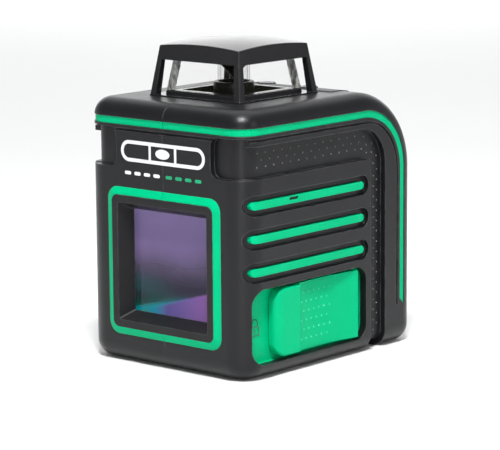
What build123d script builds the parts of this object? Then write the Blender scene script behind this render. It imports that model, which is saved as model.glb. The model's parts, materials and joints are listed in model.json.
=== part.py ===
"""Self-levelling cross-line laser with a 360 degree cone prism on top, modelled in millimetres.

Frame: +Z up, front (window) towards -Y, lock slider on the +X side, origin on the base below the
casing's middle.
"""
import math
import os

from build123d import *

os.makedirs("parts", exist_ok=True)

# ---------------------------------------------------------------- driving dimensions
# Casing envelope
BODY_WIDTH = 68.0
BODY_DEPTH = 85.0
BODY_HEIGHT = 84.6
SHOULDER_RADIUS = 25.8  # large rear top edge
CORNER_RADIUS = 8.0  # the two upright front edges
EDGE_RADIUS = 5.8  # every other outer edge
SKIN_THICKNESS = 2.6  # rubber overmould
SHELL_THICKNESS = 1.8  # moulded shell under it
SEAM_GAP = 0.16  # the two casing halves meet at x = 0

HALF_WIDTH = BODY_WIDTH / 2
FRONT = -BODY_DEPTH / 2
REAR = BODY_DEPTH / 2
WALL = SKIN_THICKNESS + SHELL_THICKNESS
SHELL_FACE = HALF_WIDTH - SKIN_THICKNESS  # outer face of the shell's side walls
SHOULDER_Y = REAR - SHOULDER_RADIUS
SHOULDER_Z = BODY_HEIGHT - SHOULDER_RADIUS
BEYOND = 60.0  # length of cutting prisms, past anything they cut

# Raised stripe round the front and sides
STRIPE_Z = 78.0
STRIPE_WIDTH = 2.3
STRIPE_INSET = 0.3
STRIPE_END_Z = 12.9
STRIPE_RADIUS = STRIPE_Z - SHOULDER_Z

# Side ribs in their grooves
RIB_Z = (34.3, 44.7, 55.2)
RIB_FRONT = -38.4
RIB_REAR = 16.0
RIB_HEIGHT = 2.5
RIB_INSET = 0.25
GROOVE_FRONT = -40.6
GROOVE_REAR = 18.2
GROOVE_HEIGHT = 6.4
GROOVE_DEPTH = 1.5

# Grip channel over the side panel and down behind it
GRIP_DEPTH = 2.0
GRIP_BOTTOM = 63.4
GRIP_TOP = 73.4
GRIP_INNER_Y = 19.4
GRIP_OUTER_Y = 26.9
GRIP_OUTER_RADIUS = 12.0
GRIP_INNER_RADIUS = 1.5
GRIP_SIDE_START = -38.6
NOTCH_INNER_X = 20.0  # where the channel ends on the front face
NOTCH_BOTTOM = 63.2
NOTCH_TOP = 76.0
NOTCH_RADIUS = 3.0
FINE_GROOVE_OFFSET = 2.6  # fine groove inside the stripe's line
FINE_GROOVE_WIDTH = 0.7
FINE_GROOVE_DEPTH = 0.8

# Front window
WINDOW_Z = 33.05
WINDOW_PROUD = 1.0
RING_OUTER = 23.9  # half sizes of the square frames, about the window's centre
RING_INNER = 21.5
RING_CORNER = 4.2
BEZEL_CLEARANCE = 0.08
TUNNEL_MOUTH = 18.95
TUNNEL_THROAT = 16.5
GLASS_FACE_Y = -38.3
GLASS_THICKNESS = 1.8
GLASS_HALF = 18.2
BEZEL_FLANGE = 23.4
BEZEL_BACK_Y = -36.2
GASKET_THICKNESS = 1.0

# Slider in its recess
RECESS_FRONT = -38.4
RECESS_REAR = 17.0
RECESS_BOTTOM = 4.8
RECESS_TOP = 28.8
RECESS_RADIUS = 5.0
RECESS_FLOOR_X = 30.0
SLIDER_FRONT = -27.4
SLIDER_REAR = 13.6
SLIDER_BOTTOM = 5.8
SLIDER_TOP = 27.8
SLIDER_BACK_X = 30.3
SLIDER_FACE_X = 33.9
SLIDER_STEP_Y = -16.2  # where the thick nose ends and the thumb dish begins
SLIDER_STEP = 1.3
SLIDER_CORNER = 4.5
SLIDER_TRAVEL = 8.0

# Hood over the cone prism
HOOD_Y = -8.4
HOOD_SEAT_Z = BODY_HEIGHT - SKIN_THICKNESS
HOOD_BASE_TOP = 85.0
HOOD_BASE_HALF = 19.25
HOOD_TOP_HALF = 16.4
ROOF_EDGE_RADIUS = 0.45
HOOD_APEX_Z = 102.5
HOOD_DOME_RADIUS = 150.0
FASCIA_BOTTOM_Z = 96.2
POST_FOOT = 2.7
POST_HEAD = 2.0
ROOF_WALL = 1.4
WELL_HALF = 12.5  # square opening in the casing's top
RIM_OUTER = 15.7
RIM_INNER = 11.8
RIM_TOP = 86.2
PANE_THICKNESS = 2.0
PANE_FOOT_HALF = 15.3
PANE_HEAD_HALF = 13.3
PANE_TOP_Z = 98.4
PANE_JOINT_GAP = 0.2
POST_CORNER = 0.5
CEILING_Z = 99.9
HOOD_SCREW_R = 0.8
HOOD_SCREW_AT = 17.5
HOOD_SCREWS = [
    (x, HOOD_Y + y)
    for x in (-HOOD_SCREW_AT, HOOD_SCREW_AT)
    for y in (-HOOD_SCREW_AT, HOOD_SCREW_AT)
]

# Gimbal and pendulum; both axes cross at the pivot
PIVOT_Z = 66.0
RING_GIMBAL_OUTER = 20.0
RING_GIMBAL_INNER = 15.5
RING_GIMBAL_HEIGHT = 4.4
BEARING_OUTER_R = 3.0
BEARING_BORE_R = 1.5
BEARING_WIDTH = 2.5
SHIELD_DEPTH = 0.3
PIN_R = 1.45
LUG_INNER_X = 22.5
LUG_OUTER_X = 26.5
LUG_HALF_Y = 5.5
SHELL_TOP_INSIDE = BODY_HEIGHT - WALL
BRACKET_HALF = 20.6
BRACKET_OPENING = 13.0
HEAD_RADIUS = 14.0
HEAD_BOTTOM = 61.5
HEAD_TOP = 70.5
MODULE_R = 5.0
MODULE_Z = 33.0
LINE_MODULE_R = 5.5
LOCK_SPHERE_R = 46.0  # spherical lock face, centred on the pivot
LOCK_GAP = 0.3
WEIGHT_R = 13.0
WEIGHT_TOP = 25.2
COLLAR_R = 6.6
COLLAR_TOP = 88.8
TUBE_OUTER_R = 5.2
TUBE_INNER_R = 4.55
TUBE_TOP = 97.0
TUBE_BOTTOM = 84.0
CONE_APEX_Z = 89.8
MODULE_BOTTOM = 52.0
MODULE_TOP = 82.0
HEAD_BEARING = 12.2  # inner bearings' distance from the pivot
HEAD_LUG_INNER = 10.9
HEAD_WAIST = 9.0
BALANCE_R = 1.5
BALANCE_Y = HOOD_Y + 6.5
BALANCE_Z = 44.0
BALANCE_HIGH_Z = 49.0
LENS_R = 1.8
LENS_HALF = 3.9
LENS_FORWARD = 1.9
MAGNET_RING_INNER = 19.6
MAGNET_RING_OUTER = 23.0
MAGNET_RING_BOTTOM = 19.5
MAGNET_RING_TOP = 25.0
MAGNET_POST_AT = 21.3
MAGNET_POST_R = 1.7
MAGNET_R = 2.4

# Lock gear
WEDGE_SLOPE = 0.2  # plunger drop per slider travel
WEDGE_TOP_Z = 12.0  # at the plunger's axis, slider locked
WEDGE_BOTTOM_Z = 8.7
WEDGE_HALF_X = 4.0
ARM_Y = (HOOD_Y + 2.0, HOOD_Y + 12.0)
ARM_Z = (9.0, 12.0)
ARM_SLOT_Y = (ARM_Y[0] - SLIDER_TRAVEL - 0.4, ARM_Y[1] + 0.4)
ARM_SLOT_Z = (ARM_Z[0] - 0.4, ARM_Z[1] + 0.4)
PLUNGER_STEM_R = 3.0
PLUNGER_BORE_R = 3.05
PLUNGER_FLANGE_R = 7.0
FOOT_HALF = 4.0
FOOT_TOP = 13.6
GUIDE_BOTTOM = 13.9
GUIDE_TOP = 15.2
FLANGE_BOTTOM = 17.2
PAD_BOTTOM = 18.4
GUIDE_Y = (-27.0, 13.0)

# Battery bay and its cover
CELL_R = 7.1
CELL_PITCH = 15.0
CELL_Y = 29.8
CELL_BOTTOM = 8.2
CELL_TOP = 57.0
FRAME_HALF_X = 26.4
FRAME_BOTTOM = 5.0
FRAME_TOP = 58.8
COVER_HALF_X = 23.8
COVER_TOP = 56.6
COVER_THICKNESS = 3.0
HINGE_Y = 39.9
HINGE_Z = 9.4
KNUCKLE_R = 2.5
COVER_GAP = 0.3
LATCH_HALF_X = 6.0
LATCH_BOTTOM = 46.0
LATCH_TRAVEL = 2.0
LATCH_BACK_Y = 40.6
TONGUE_TOP = 58.2
BOX_HALF_X = 23.6
BOX_FRONT = 21.2
BOX_REAR = 36.9
BOX_TOP = 59.3

# Blank rating label on the -X side panel
LABEL_DEPTH = 0.4
LABEL_Y = (-26.0, 12.0)
LABEL_Z = (12.6, 27.0)

# Keypad on the shoulder behind the hood
KEYPAD_HALF_X = 22.2
KEYPAD_FRONT = 13.4
KEYPAD_REAR = 22.6
KEYPAD_PROUD = 0.25
KEYPAD_DEPTH = 0.8
BUTTON_X = 9.0
BUTTON_Y = 17.9
BUTTON_R = 3.3
BUTTON_STEM_R = 1.3
BUTTON_TRAVEL = 0.4
BUTTON_TOP = 85.2
BUTTON_CAP_BOTTOM = 82.8
BUTTON_STEM_BOTTOM = 80.7

KEYPAD_BOARD_Z = 77.0

# Main board on the -X wall
BOARD_X = (-27.4, -25.8)
BOARD_Y = (-24.0, 16.0)
BOARD_Z = (12.0, 56.0)

# Tripod insert, 1/4"-20 UNC
INSERT_BORE_R = 2.6
INSERT_OUTER_R = 4.5
INSERT_LENGTH = 7.0
INSERT_MOUTH_Z = 0.3

# Casing screws, entering from the -X side
SCREW_POINTS = ((-31.5, 8.6), (-32.0, 68.4), (21.4, 67.4), (17.4, 8.6))
SCREW_R = 1.25
SCREW_HEAD_R = 2.3
BOSS_R = 3.2
SCREW_TIP_X = 9.0
SCREW_HEAD_X = 28.6  # under the head


# ---------------------------------------------------------------- shared shapes
def save(builder, name):
    """Label a finished piece and write it as its own node."""
    builder.part.label = name
    export_step(builder.part, f"parts/{name}.step")


def envelope(inset):
    """Casing envelope, drawn in from the outer surface by inset on every side."""
    half = HALF_WIDTH - inset
    front = FRONT + inset
    rear = REAR - inset
    top = BODY_HEIGHT - inset

    def is_sharp(edge):
        middle = edge.center()
        if abs(edge.tangent_at(0.5).Z) > 0.999 and edge.geom_type == GeomType.LINE:
            return middle.Y > rear - 0.1
        if abs(edge.tangent_at(0.5).X) > 0.999 and edge.geom_type == GeomType.LINE:
            return middle.Z < inset + 0.1 or middle.Y < front + 0.1
        return True

    with BuildPart() as casing:
        with BuildSketch(Plane.YZ.offset(-half)):
            with BuildLine():
                Polyline((rear, SHOULDER_Z), (rear, inset), (front, inset), (front, top), (SHOULDER_Y, top))
                TangentArc((SHOULDER_Y, top), (rear, SHOULDER_Z), tangent=(1, 0))
            make_face()
        extrude(amount=2 * half)
        upright = casing.edges().filter_by(Axis.Z).group_by(Axis.Y)[0]
        fillet(upright, radius=CORNER_RADIUS - inset)
        fillet(casing.edges().filter_by(is_sharp), radius=EDGE_RADIUS - inset)
    return casing.part


def side_prism(outline, near, far):
    """Prism over an outline laid in the YZ plane, between two x positions."""
    with BuildPart() as prism:
        with BuildSketch(Plane.YZ.offset(near)):
            add(outline)
        extrude(amount=far - near)
    return prism.part


def front_square(half, corner):
    """Rounded square about the window's centre, in the XZ plane's own coordinates."""
    with BuildSketch() as square:
        with Locations((0, WINDOW_Z)):
            RectangleRounded(2 * half, 2 * half, corner)
    return square.sketch


def front_prism(half, corner, near, far):
    """Square prism about the window's centre between two y positions, near < far."""
    with BuildPart() as prism:
        with BuildSketch(Plane.XZ.offset(-far)):
            add(front_square(half, corner))
        extrude(amount=far - near)
    return prism.part


def hood_square(half, corner=0.0):
    """Square about the hood's axis, in the XY plane's own coordinates."""
    with BuildSketch() as square:
        with Locations((0, HOOD_Y)):
            Rectangle(2 * half, 2 * half)
        if corner > 0:
            fillet(square.vertices(), radius=corner)
    return square.sketch


def square_prism(half, bottom, top, corner=0.0):
    """Square prism about the hood's axis."""
    with BuildPart() as prism:
        with BuildSketch(Plane.XY.offset(bottom)):
            add(hood_square(half, corner))
        extrude(amount=top - bottom)
    return prism.part


def square_taper(foot, head, bottom, top, corner=0.0):
    """Tapered square prism about the hood's axis."""
    with BuildPart() as prism:
        with BuildSketch(Plane.XY.offset(bottom)):
            add(hood_square(foot, corner))
        with BuildSketch(Plane.XY.offset(top)):
            add(hood_square(head, corner))
        loft()
    return prism.part


def rod(radius, start, end):
    """Round bar between two points, as a stand-alone solid."""
    axis = Vector(*end) - Vector(*start)
    with BuildPart() as bar:
        with BuildSketch(Plane(origin=start, z_dir=axis)):
            Circle(radius)
        extrude(amount=axis.length)
    return bar.part


def ball(radius, centre_z):
    """Sphere on the hood's axis, as a stand-alone solid."""
    with BuildPart() as sphere:
        with Locations((0, HOOD_Y, centre_z)):
            Sphere(radius)
    return sphere.part


def block(x_span, y_span, z_span):
    """Box from its spans along X, Y and Z, as a stand-alone solid."""
    with BuildPart() as box:
        with BuildSketch(Plane.XY.offset(z_span[0])):
            with Locations(((x_span[0] + x_span[1]) / 2, (y_span[0] + y_span[1]) / 2)):
                Rectangle(x_span[1] - x_span[0], y_span[1] - y_span[0])
        extrude(amount=z_span[1] - z_span[0])
    return box.part


def band_outline(radius, width, end_z):
    """Band at a radius about the shoulder's centre, forward along the top and down the rear."""
    outer = radius + width / 2
    inner = radius - width / 2
    with BuildSketch() as band:
        with BuildLine():
            Line((FRONT - 5, SHOULDER_Z + outer), (SHOULDER_Y, SHOULDER_Z + outer))
            TangentArc((SHOULDER_Y, SHOULDER_Z + outer), (SHOULDER_Y + outer, SHOULDER_Z), tangent=(1, 0))
            Line((SHOULDER_Y + outer, SHOULDER_Z), (SHOULDER_Y + outer, end_z))
            Line((SHOULDER_Y + outer, end_z), (SHOULDER_Y + inner, end_z + width))
            Line((SHOULDER_Y + inner, end_z + width), (SHOULDER_Y + inner, SHOULDER_Z))
            TangentArc((SHOULDER_Y + inner, SHOULDER_Z), (SHOULDER_Y, SHOULDER_Z + inner), tangent=(0, 1))
            Line((SHOULDER_Y, SHOULDER_Z + inner), (FRONT - 5, SHOULDER_Z + inner))
            Line((FRONT - 5, SHOULDER_Z + inner), (FRONT - 5, SHOULDER_Z + outer))
        make_face()
    return band.sketch


def grip_outline():
    """Channel along the top of the side panel, round its corner and down through the base."""
    with BuildSketch() as channel:
        with BuildLine():
            FilletPolyline(
                (GRIP_SIDE_START, GRIP_TOP),
                (GRIP_OUTER_Y, GRIP_TOP),
                (GRIP_OUTER_Y, -5),
                radius=GRIP_OUTER_RADIUS,
            )
            Line((GRIP_OUTER_Y, -5), (GRIP_INNER_Y, -5))
            FilletPolyline(
                (GRIP_INNER_Y, -5),
                (GRIP_INNER_Y, GRIP_BOTTOM),
                (GRIP_SIDE_START, GRIP_BOTTOM),
                radius=GRIP_INNER_RADIUS,
            )
            Line((GRIP_SIDE_START, GRIP_BOTTOM), (GRIP_SIDE_START, GRIP_TOP))
        make_face()
    return channel.sketch


def long_slot(front, rear, height, z):
    """Round-ended slot outline in the YZ plane."""
    with BuildSketch() as slot:
        with Locations(((front + rear) / 2, z)):
            SlotOverall(rear - front, height)
    return slot.sketch


def recess_outline(margin=0.0):
    """Slider recess outline in the YZ plane, grown by margin."""
    with BuildSketch() as outline:
        with Locations(((RECESS_FRONT + RECESS_REAR) / 2, (RECESS_BOTTOM + RECESS_TOP) / 2)):
            RectangleRounded(
                RECESS_REAR - RECESS_FRONT + 2 * margin,
                RECESS_TOP - RECESS_BOTTOM + 2 * margin,
                RECESS_RADIUS + margin,
            )
    return outline.sketch


# ---------------------------------------------------------------- casing
outer_body = envelope(0)
shell_body = envelope(SKIN_THICKNESS)
cavity_body = envelope(WALL)
grip_floor = envelope(GRIP_DEPTH)
groove_floor = envelope(GROOVE_DEPTH)
fine_floor = envelope(FINE_GROOVE_DEPTH)
rib_face = envelope(RIB_INSET)
stripe_face = envelope(STRIPE_INSET)

stripe_outline = band_outline(STRIPE_RADIUS, STRIPE_WIDTH, STRIPE_END_Z)
stripe_prism = side_prism(stripe_outline, -BEYOND, BEYOND)
fine_outline = band_outline(STRIPE_RADIUS - FINE_GROOVE_OFFSET, FINE_GROOVE_WIDTH, STRIPE_END_Z)

rib_prisms = []
groove_prisms = []
for side in (-1, 1):
    near, far = sorted((side * (SHELL_FACE - 1), side * (HALF_WIDTH + 1)))
    for rib_z in RIB_Z:
        rib_prisms.append(side_prism(long_slot(RIB_FRONT, RIB_REAR, RIB_HEIGHT, rib_z), near, far))
        groove = long_slot(GROOVE_FRONT, GROOVE_REAR, GROOVE_HEIGHT, rib_z)
        groove_prisms.append(side_prism(groove, near, far))

grip_prisms = []
for side in (-1, 1):
    near, far = sorted((side * (HALF_WIDTH - CORNER_RADIUS), side * (HALF_WIDTH + 1)))
    grip_prisms.append(side_prism(grip_outline(), near, far))
    with BuildPart() as notch:
        with BuildSketch(Plane.XZ.offset(-(GRIP_SIDE_START + 0.01))):
            with Locations((side * (NOTCH_INNER_X + BEYOND / 2), (NOTCH_BOTTOM + NOTCH_TOP) / 2)):
                RectangleRounded(BEYOND, NOTCH_TOP - NOTCH_BOTTOM, NOTCH_RADIUS)
        extrude(amount=CORNER_RADIUS)
    grip_prisms.append(notch.part)

keypad_prism = block(
    (-KEYPAD_HALF_X, KEYPAD_HALF_X), (KEYPAD_FRONT, KEYPAD_REAR), (BODY_HEIGHT - 8, BODY_HEIGHT + 2)
)
recess_prism = side_prism(recess_outline(), RECESS_FLOOR_X, BEYOND)
frame_prism = block((-FRAME_HALF_X, FRAME_HALF_X), (WALL + 30, BEYOND), (FRAME_BOTTOM, FRAME_TOP))
indicator_prism = block((SHELL_FACE - 5, BEYOND), (-21.1, -16.8), (RIB_Z[2] - 0.1, RIB_Z[2] + 0.8))
label_prism = block((-BEYOND, -(HALF_WIDTH - LABEL_DEPTH)), LABEL_Y, LABEL_Z)
hood_seat_prism = square_prism(HOOD_BASE_HALF + 0.1, HOOD_SEAT_Z, BODY_HEIGHT + 5, POST_CORNER)
well_prism = square_prism(WELL_HALF, SHOULDER_Z, BODY_HEIGHT + 5, 1.0)
window_prism = front_prism(RING_OUTER, RING_CORNER, FRONT - 5, FRONT + WALL + 2)
insert_prism = rod(INSERT_OUTER_R, (0, 0, -5), (0, 0, INSERT_MOUTH_Z + INSERT_LENGTH))
button_prisms = [
    rod(BUTTON_R + COVER_GAP, (x, BUTTON_Y, BODY_HEIGHT - SKIN_THICKNESS - 1), (x, BUTTON_Y, BODY_HEIGHT + 5))
    for x in (-BUTTON_X, BUTTON_X)
]

with BuildPart() as skin_whole:
    add(outer_body)
    add(shell_body, mode=Mode.SUBTRACT)
    add(stripe_prism, mode=Mode.SUBTRACT)
    for prism in rib_prisms:
        add(prism, mode=Mode.SUBTRACT)
    for prism in groove_prisms:
        add(prism - groove_floor, mode=Mode.SUBTRACT)
    for prism in grip_prisms:
        add(prism - grip_floor, mode=Mode.SUBTRACT)
    add(side_prism(fine_outline, -BEYOND, BEYOND) - fine_floor, mode=Mode.SUBTRACT)
    add(keypad_prism - envelope(KEYPAD_DEPTH), mode=Mode.SUBTRACT)
    add(recess_prism, mode=Mode.SUBTRACT)
    add(frame_prism, mode=Mode.SUBTRACT)
    add(label_prism, mode=Mode.SUBTRACT)
    add(hood_seat_prism, mode=Mode.SUBTRACT)
    add(window_prism, mode=Mode.SUBTRACT)
    add(rod(INSERT_OUTER_R + 0.8, (0, 0, -5), (0, 0, SKIN_THICKNESS)), mode=Mode.SUBTRACT)
    for prism in button_prisms:
        add(prism, mode=Mode.SUBTRACT)
    for y, z in SCREW_POINTS:
        add(rod(SCREW_HEAD_R + 0.4, (-BEYOND, y, z), (-SHELL_FACE, y, z)), mode=Mode.SUBTRACT)

for side, name in ((1, "skin_right"), (-1, "skin_left")):
    with BuildPart() as skin_half:
        add(skin_whole.part)
        split(bisect_by=Plane.YZ.offset(side * SEAM_GAP / 2), keep=Keep.TOP if side > 0 else Keep.BOTTOM)
    save(skin_half, name)

with BuildPart() as window_ring:
    with BuildSketch(Plane.XZ.offset(-(FRONT + SKIN_THICKNESS + 0.5))):
        add(front_square(RING_OUTER, RING_CORNER))
    extrude(amount=SKIN_THICKNESS + 0.5 + WINDOW_PROUD)
    proud_edges = window_ring.faces().sort_by(Axis.Y)[0].edges()
    chamfer(proud_edges, length=WINDOW_PROUD, length2=RING_OUTER - RING_INNER - 0.4)

with BuildPart() as shell_whole:
    add(shell_body)
    for prism in rib_prisms:
        add(rib_face & prism)
    add(stripe_face & stripe_prism)
    add(window_ring.part)
    add(cavity_body, mode=Mode.SUBTRACT)
    recess_wall = side_prism(recess_outline(SHELL_THICKNESS), RECESS_FLOOR_X - SHELL_THICKNESS, SHELL_FACE)
    add(shell_body & recess_wall)
    add(rod(INSERT_OUTER_R + 1.6, (0, 0, WALL - 0.5), (0, 0, INSERT_MOUTH_Z + INSERT_LENGTH + 1.0)))
    for y, z in SCREW_POINTS:
        add(rod(BOSS_R, (-SHELL_FACE + 0.5, y, z), (SHELL_FACE - 0.5, y, z)))
    add(recess_prism, mode=Mode.SUBTRACT)
    add(front_prism(RING_INNER, RING_CORNER - 1.8, FRONT - 5, FRONT + WALL + 2), mode=Mode.SUBTRACT)
    add(well_prism, mode=Mode.SUBTRACT)
    add(frame_prism, mode=Mode.SUBTRACT)
    add(insert_prism, mode=Mode.SUBTRACT)
    add(indicator_prism, mode=Mode.SUBTRACT)
    for y, z in SCREW_POINTS:
        add(rod(SCREW_R, (-BEYOND, y, z), (SCREW_TIP_X, y, z)), mode=Mode.SUBTRACT)
        add(rod(SCREW_HEAD_R, (-BEYOND, y, z), (-SCREW_HEAD_X, y, z)), mode=Mode.SUBTRACT)
    for x in (-BUTTON_X, BUTTON_X):
        stem_hole = rod(BUTTON_STEM_R + 0.3, (x, BUTTON_Y, SHOULDER_Z), (x, BUTTON_Y, BODY_HEIGHT))
        add(stem_hole, mode=Mode.SUBTRACT)
    for x, y in HOOD_SCREWS:
        add(rod(HOOD_SCREW_R, (x, y, SHOULDER_Z), (x, y, BODY_HEIGHT)), mode=Mode.SUBTRACT)
    add(block((RECESS_FLOOR_X - 5, BEYOND), ARM_SLOT_Y, ARM_SLOT_Z), mode=Mode.SUBTRACT)

for side, name in ((1, "shell_right"), (-1, "shell_left")):
    with BuildPart() as shell_half:
        add(shell_whole.part)
        split(bisect_by=Plane.YZ.offset(side * SEAM_GAP / 2), keep=Keep.TOP if side > 0 else Keep.BOTTOM)
    save(shell_half, name)

with BuildPart() as rating_label:
    add((label_prism & envelope(LABEL_DEPTH - 0.15)) - envelope(LABEL_DEPTH))
save(rating_label, "rating_label")

with BuildPart() as indicator_lens:
    add(indicator_prism & envelope(RIB_INSET + 0.35))
    add(envelope(WALL + 0.4), mode=Mode.SUBTRACT)
save(indicator_lens, "indicator_lens")

with BuildPart() as casing_screws:
    for y, z in SCREW_POINTS:
        add(rod(SCREW_R, (-SCREW_HEAD_X, y, z), (SCREW_TIP_X, y, z)))
        add(rod(SCREW_HEAD_R, (-SCREW_HEAD_X - 1.6, y, z), (-SCREW_HEAD_X, y, z)))
        add(rod(0.9, (-SCREW_HEAD_X - 2.0, y, z), (-SCREW_HEAD_X - 0.8, y, z)), mode=Mode.SUBTRACT)
save(casing_screws, "casing_screws")

# ---------------------------------------------------------------- front window
bezel_seat = RING_INNER - BEZEL_CLEARANCE
with BuildPart() as window_bezel:
    add(front_prism(bezel_seat, RING_CORNER - 1.8, FRONT - WINDOW_PROUD, FRONT + WALL + 0.1))
    add(front_prism(BEZEL_FLANGE, 2.0, FRONT + WALL + 0.02, BEZEL_BACK_Y))
    with BuildSketch(Plane.XZ.offset(-(FRONT - WINDOW_PROUD - 0.01))):
        add(front_square(TUNNEL_MOUTH, 0.6))
    with BuildSketch(Plane.XZ.offset(-GLASS_FACE_Y)):
        add(front_square(TUNNEL_THROAT, 0.6))
    loft(mode=Mode.SUBTRACT)
    add(front_prism(GLASS_HALF, 1.0, GLASS_FACE_Y, BEZEL_BACK_Y + 1), mode=Mode.SUBTRACT)
save(window_bezel, "window_bezel")

with BuildPart() as window_glass:
    add(front_prism(GLASS_HALF - 0.05, 1.0, GLASS_FACE_Y, GLASS_FACE_Y + GLASS_THICKNESS))
save(window_glass, "window_glass")

with BuildPart() as window_gasket:
    add(front_prism(BEZEL_FLANGE - 1, 2.0, BEZEL_BACK_Y, BEZEL_BACK_Y + GASKET_THICKNESS))
    add(front_prism(TUNNEL_THROAT, 1.0, FRONT, 0), mode=Mode.SUBTRACT)
save(window_gasket, "window_gasket")

# ---------------------------------------------------------------- hood
with BuildPart() as hood:
    add(square_taper(HOOD_BASE_HALF, HOOD_TOP_HALF, HOOD_BASE_TOP - 1.0, HOOD_APEX_Z + 1, POST_CORNER))
    add(ball(HOOD_DOME_RADIUS, HOOD_APEX_Z - HOOD_DOME_RADIUS), mode=Mode.INTERSECT)
    fillet(hood.faces().sort_by(Axis.Z)[-1].edges(), radius=ROOF_EDGE_RADIUS)
    lean = (HOOD_BASE_HALF - HOOD_TOP_HALF) / (HOOD_APEX_Z + 1 - (HOOD_BASE_TOP - 1))
    fascia_half = HOOD_BASE_HALF - lean * (FASCIA_BOTTOM_Z - (HOOD_BASE_TOP - 1))
    ceiling_half = HOOD_BASE_HALF - lean * (CEILING_Z - (HOOD_BASE_TOP - 1))
    add(
        square_taper(fascia_half - ROOF_WALL, ceiling_half - ROOF_WALL, FASCIA_BOTTOM_Z - 0.01, CEILING_Z),
        mode=Mode.SUBTRACT,
    )
    for plane in (Plane.XZ.offset(-(HOOD_Y - BEYOND / 2)), Plane.YZ.offset(-BEYOND / 2)):
        middle = 0 if plane.z_dir.Y else HOOD_Y
        foot = HOOD_BASE_HALF - POST_FOOT
        head = fascia_half - POST_HEAD
        with BuildSketch(plane):
            Polygon(
                (middle - foot, HOOD_BASE_TOP),
                (middle + foot, HOOD_BASE_TOP),
                (middle + head, FASCIA_BOTTOM_Z),
                (middle - head, FASCIA_BOTTOM_Z),
                align=None,
            )
        extrude(amount=-BEYOND if plane.z_dir.Y else BEYOND, mode=Mode.SUBTRACT)
    add(square_prism(HOOD_BASE_HALF, HOOD_SEAT_Z, HOOD_BASE_TOP, POST_CORNER))
    add(square_prism(RIM_OUTER, HOOD_SEAT_Z, HOOD_BASE_TOP + 5), mode=Mode.SUBTRACT)
    for x, y in HOOD_SCREWS:
        add(rod(HOOD_SCREW_R, (x, y, HOOD_SEAT_Z - 1), (x, y, HOOD_BASE_TOP - 0.6)), mode=Mode.SUBTRACT)
save(hood, "hood")

with BuildPart() as pane_seat:
    add(square_prism(RIM_OUTER - 0.06, HOOD_SEAT_Z, RIM_TOP, 0.8))
    chamfer(pane_seat.faces().sort_by(Axis.Z)[-1].edges(), length=0.35)
    add(square_prism(RIM_INNER, HOOD_SEAT_Z - 1, RIM_TOP + 1), mode=Mode.SUBTRACT)
save(pane_seat, "pane_seat")

with BuildPart() as hood_gasket:
    add(square_prism(WELL_HALF + 0.9, HOOD_SEAT_Z - SHELL_THICKNESS, HOOD_SEAT_Z))
    add(well_prism, mode=Mode.INTERSECT)
    add(square_prism(RIM_INNER, SHOULDER_Z, BODY_HEIGHT), mode=Mode.SUBTRACT)
save(hood_gasket, "hood_gasket")

with BuildPart() as pane_box:
    add(square_taper(PANE_FOOT_HALF, PANE_HEAD_HALF, RIM_TOP, PANE_TOP_Z))
    add(
        square_taper(PANE_FOOT_HALF - PANE_THICKNESS, PANE_HEAD_HALF - PANE_THICKNESS, RIM_TOP, PANE_TOP_Z),
        mode=Mode.SUBTRACT,
    )
mitre_planes = [
    Plane(origin=(0, HOOD_Y, 0), z_dir=(1, 1, 0)),
    Plane(origin=(0, HOOD_Y, 0), z_dir=(1, -1, 0)),
]
pane_names = {(1, 1): "pane_right", (-1, -1): "pane_left", (1, -1): "pane_rear", (-1, 1): "pane_front"}
for (along, across), pane_name in pane_names.items():
    with BuildPart() as pane:
        add(pane_box.part)
        for plane, sign in zip(mitre_planes, (along, across)):
            kept = Keep.TOP if sign > 0 else Keep.BOTTOM
            split(bisect_by=plane.offset(sign * PANE_JOINT_GAP / 2), keep=kept)
    save(pane, pane_name)

with BuildPart() as pane_joints:
    with BuildSketch(Plane.XY.offset(RIM_TOP)):
        with Locations((0, HOOD_Y)):
            Rectangle(BEYOND, PANE_JOINT_GAP, rotation=45)
            Rectangle(BEYOND, PANE_JOINT_GAP, rotation=135)
    extrude(amount=PANE_TOP_Z - RIM_TOP)
    add(pane_box.part, mode=Mode.INTERSECT)
save(pane_joints, "pane_joints")

# ---------------------------------------------------------------- gimbal
bracket_bottom = SHELL_TOP_INSIDE - 3.0
with BuildPart() as gimbal_bracket:
    add(square_prism(BRACKET_HALF, bracket_bottom, SHELL_TOP_INSIDE, 2.0))
    for side in (-1, 1):
        spans = sorted((side * (LUG_INNER_X - 3), side * LUG_OUTER_X))
        add(block(spans, (HOOD_Y - LUG_HALF_Y, HOOD_Y + LUG_HALF_Y), (bracket_bottom, SHELL_TOP_INSIDE)))
        spans = sorted((side * LUG_INNER_X, side * LUG_OUTER_X))
        add(block(spans, (HOOD_Y - LUG_HALF_Y, HOOD_Y + LUG_HALF_Y), (PIVOT_Z, SHELL_TOP_INSIDE)))
        add(rod(LUG_HALF_Y, (spans[0], HOOD_Y, PIVOT_Z), (spans[1], HOOD_Y, PIVOT_Z)))
        add(rod(BEARING_OUTER_R, (spans[0] - 1, HOOD_Y, PIVOT_Z), (spans[1] + 1, HOOD_Y, PIVOT_Z)),
            mode=Mode.SUBTRACT)
    add(square_prism(BRACKET_OPENING, bracket_bottom - 1, SHELL_TOP_INSIDE + 1, 2.0), mode=Mode.SUBTRACT)
    for x, y in HOOD_SCREWS:
        add(rod(HOOD_SCREW_R, (x, y, bracket_bottom - 1), (x, y, SHELL_TOP_INSIDE + 1)), mode=Mode.SUBTRACT)
save(gimbal_bracket, "gimbal_bracket")

with BuildPart() as hood_screws:
    for x, y in HOOD_SCREWS:
        add(rod(HOOD_SCREW_R, (x, y, bracket_bottom - 0.01), (x, y, HOOD_BASE_TOP - 0.8)))
        add(rod(HOOD_SCREW_R * 1.9, (x, y, bracket_bottom - 1.2), (x, y, bracket_bottom)))
save(hood_screws, "hood_screws")


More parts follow.
